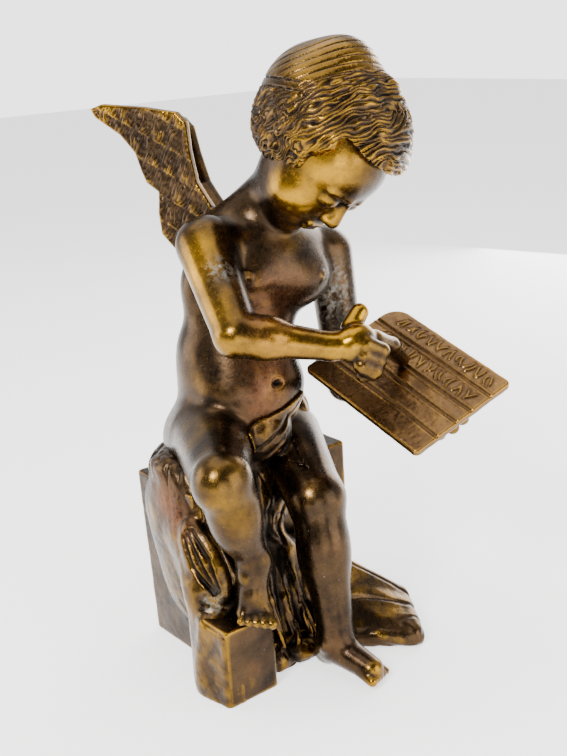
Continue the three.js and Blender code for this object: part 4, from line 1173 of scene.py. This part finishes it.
# %% Studio
def soft_light(name, place, target, size, power):
    """A square soft box that looks at a target."""
    data = bpy.data.lights.new(name, "AREA")
    data.shape = "SQUARE"
    data.size = size
    data.energy = power
    lamp = placed(name, data)
    lamp.location = place
    lamp.rotation_euler = (Vector(target) - Vector(place)).to_track_quat("-Z", "Y").to_euler()


middle = (0.0, -0.03, 0.18)
soft_light("key", (-0.85, -0.35, 0.8), middle, 0.3, 16)
soft_light("front", (0.35, -1.1, 0.35), middle, 0.8, 11)
soft_light("low", (-0.45, -0.85, 0.12), middle, 0.5, 3)
soft_light("left", (-0.75, 0.75, 0.35), middle, 0.6, 6)
soft_light("right", (0.95, 0.25, 0.35), middle, 0.7, 10)
soft_light("top", (0.0, 0.1, 1.3), middle, 1.2, 12)

world = bpy.data.worlds.new("room")
bpy.context.scene.world = world
world.use_nodes = True
room = world.node_tree
toward = node(room, "ShaderNodeVectorMath", operation="DOT_PRODUCT")
room.links.new(node(room, "ShaderNodeTexCoord").outputs["Generated"], toward.inputs[0])
toward.inputs[1].default_value = (-0.62, -0.76, 0.2)
shade = {"Value": toward.outputs["Value"], "From Min": -0.1, "From Max": 0.7}
shade.update({"To Min": 1.15, "To Max": 0.2})
graded = node(room, "ShaderNodeMapRange", shade, interpolation_type="SMOOTHSTEP")
seen = node(room, "ShaderNodeLightPath").outputs["Is Camera Ray"]
strength = node(room, "ShaderNodeMix", {"Factor": seen}, data_type="FLOAT")
room.links.new(graded.outputs["Result"], strength.inputs[2])
strength.inputs[3].default_value = 3.0
backdrop = room.nodes["Background"]
backdrop.inputs["Color"].default_value = (1, 1, 1, 1)
room.links.new(strength.outputs[0], backdrop.inputs["Strength"])

FLOOR_REACH = 4.0
floor_mesh = bpy.data.meshes.new("floor")
corners = [(FLOOR_REACH * x, FLOOR_REACH * y, 0) for x, y in ((-1, -1), (1, -1), (1, 1), (-1, 1))]
floor_mesh.from_pydata(corners, [], [(0, 1, 2, 3)])
floor = placed("floor", floor_mesh)
pale = bpy.data.materials.new("pale floor")
pale.use_nodes = True
surface = pale.node_tree.nodes["Principled BSDF"].inputs
surface["Base Color"].default_value = (0.9, 0.9, 0.89, 1)
surface["Roughness"].default_value = 0.7
surface["Emission Color"].default_value = (1, 1, 1, 1)
surface["Emission Strength"].default_value = 1.3
floor_mesh.materials.append(pale)

# %% [markdown]
# ## Camera
# The camera stands to the figure's right, a little above its head, and looks down.

# %% Camera
FOCAL_PIXELS, PICTURE_HEIGHT = 1095.0, 756
turn, dip, roll = np.radians([38.48, 18.3, -3.24])
forward = Vector((np.sin(turn) * np.cos(dip), np.cos(turn) * np.cos(dip), -np.sin(dip)))
lens = bpy.data.cameras.new("camera")
lens.sensor_fit = "VERTICAL"
lens.sensor_height = 36
lens.sensor_width = 27
lens.lens = FOCAL_PIXELS / PICTURE_HEIGHT * 36
camera = placed("camera", lens)
camera.location = (-0.3571, -0.4904, 0.3522)
level = forward.to_track_quat("-Z", "Y").to_matrix().to_4x4()
camera.rotation_euler = (level @ Matrix.Rotation(roll, 4, "Z")).to_euler()
bpy.context.scene.camera = camera
print("camera at", tuple(camera.location))
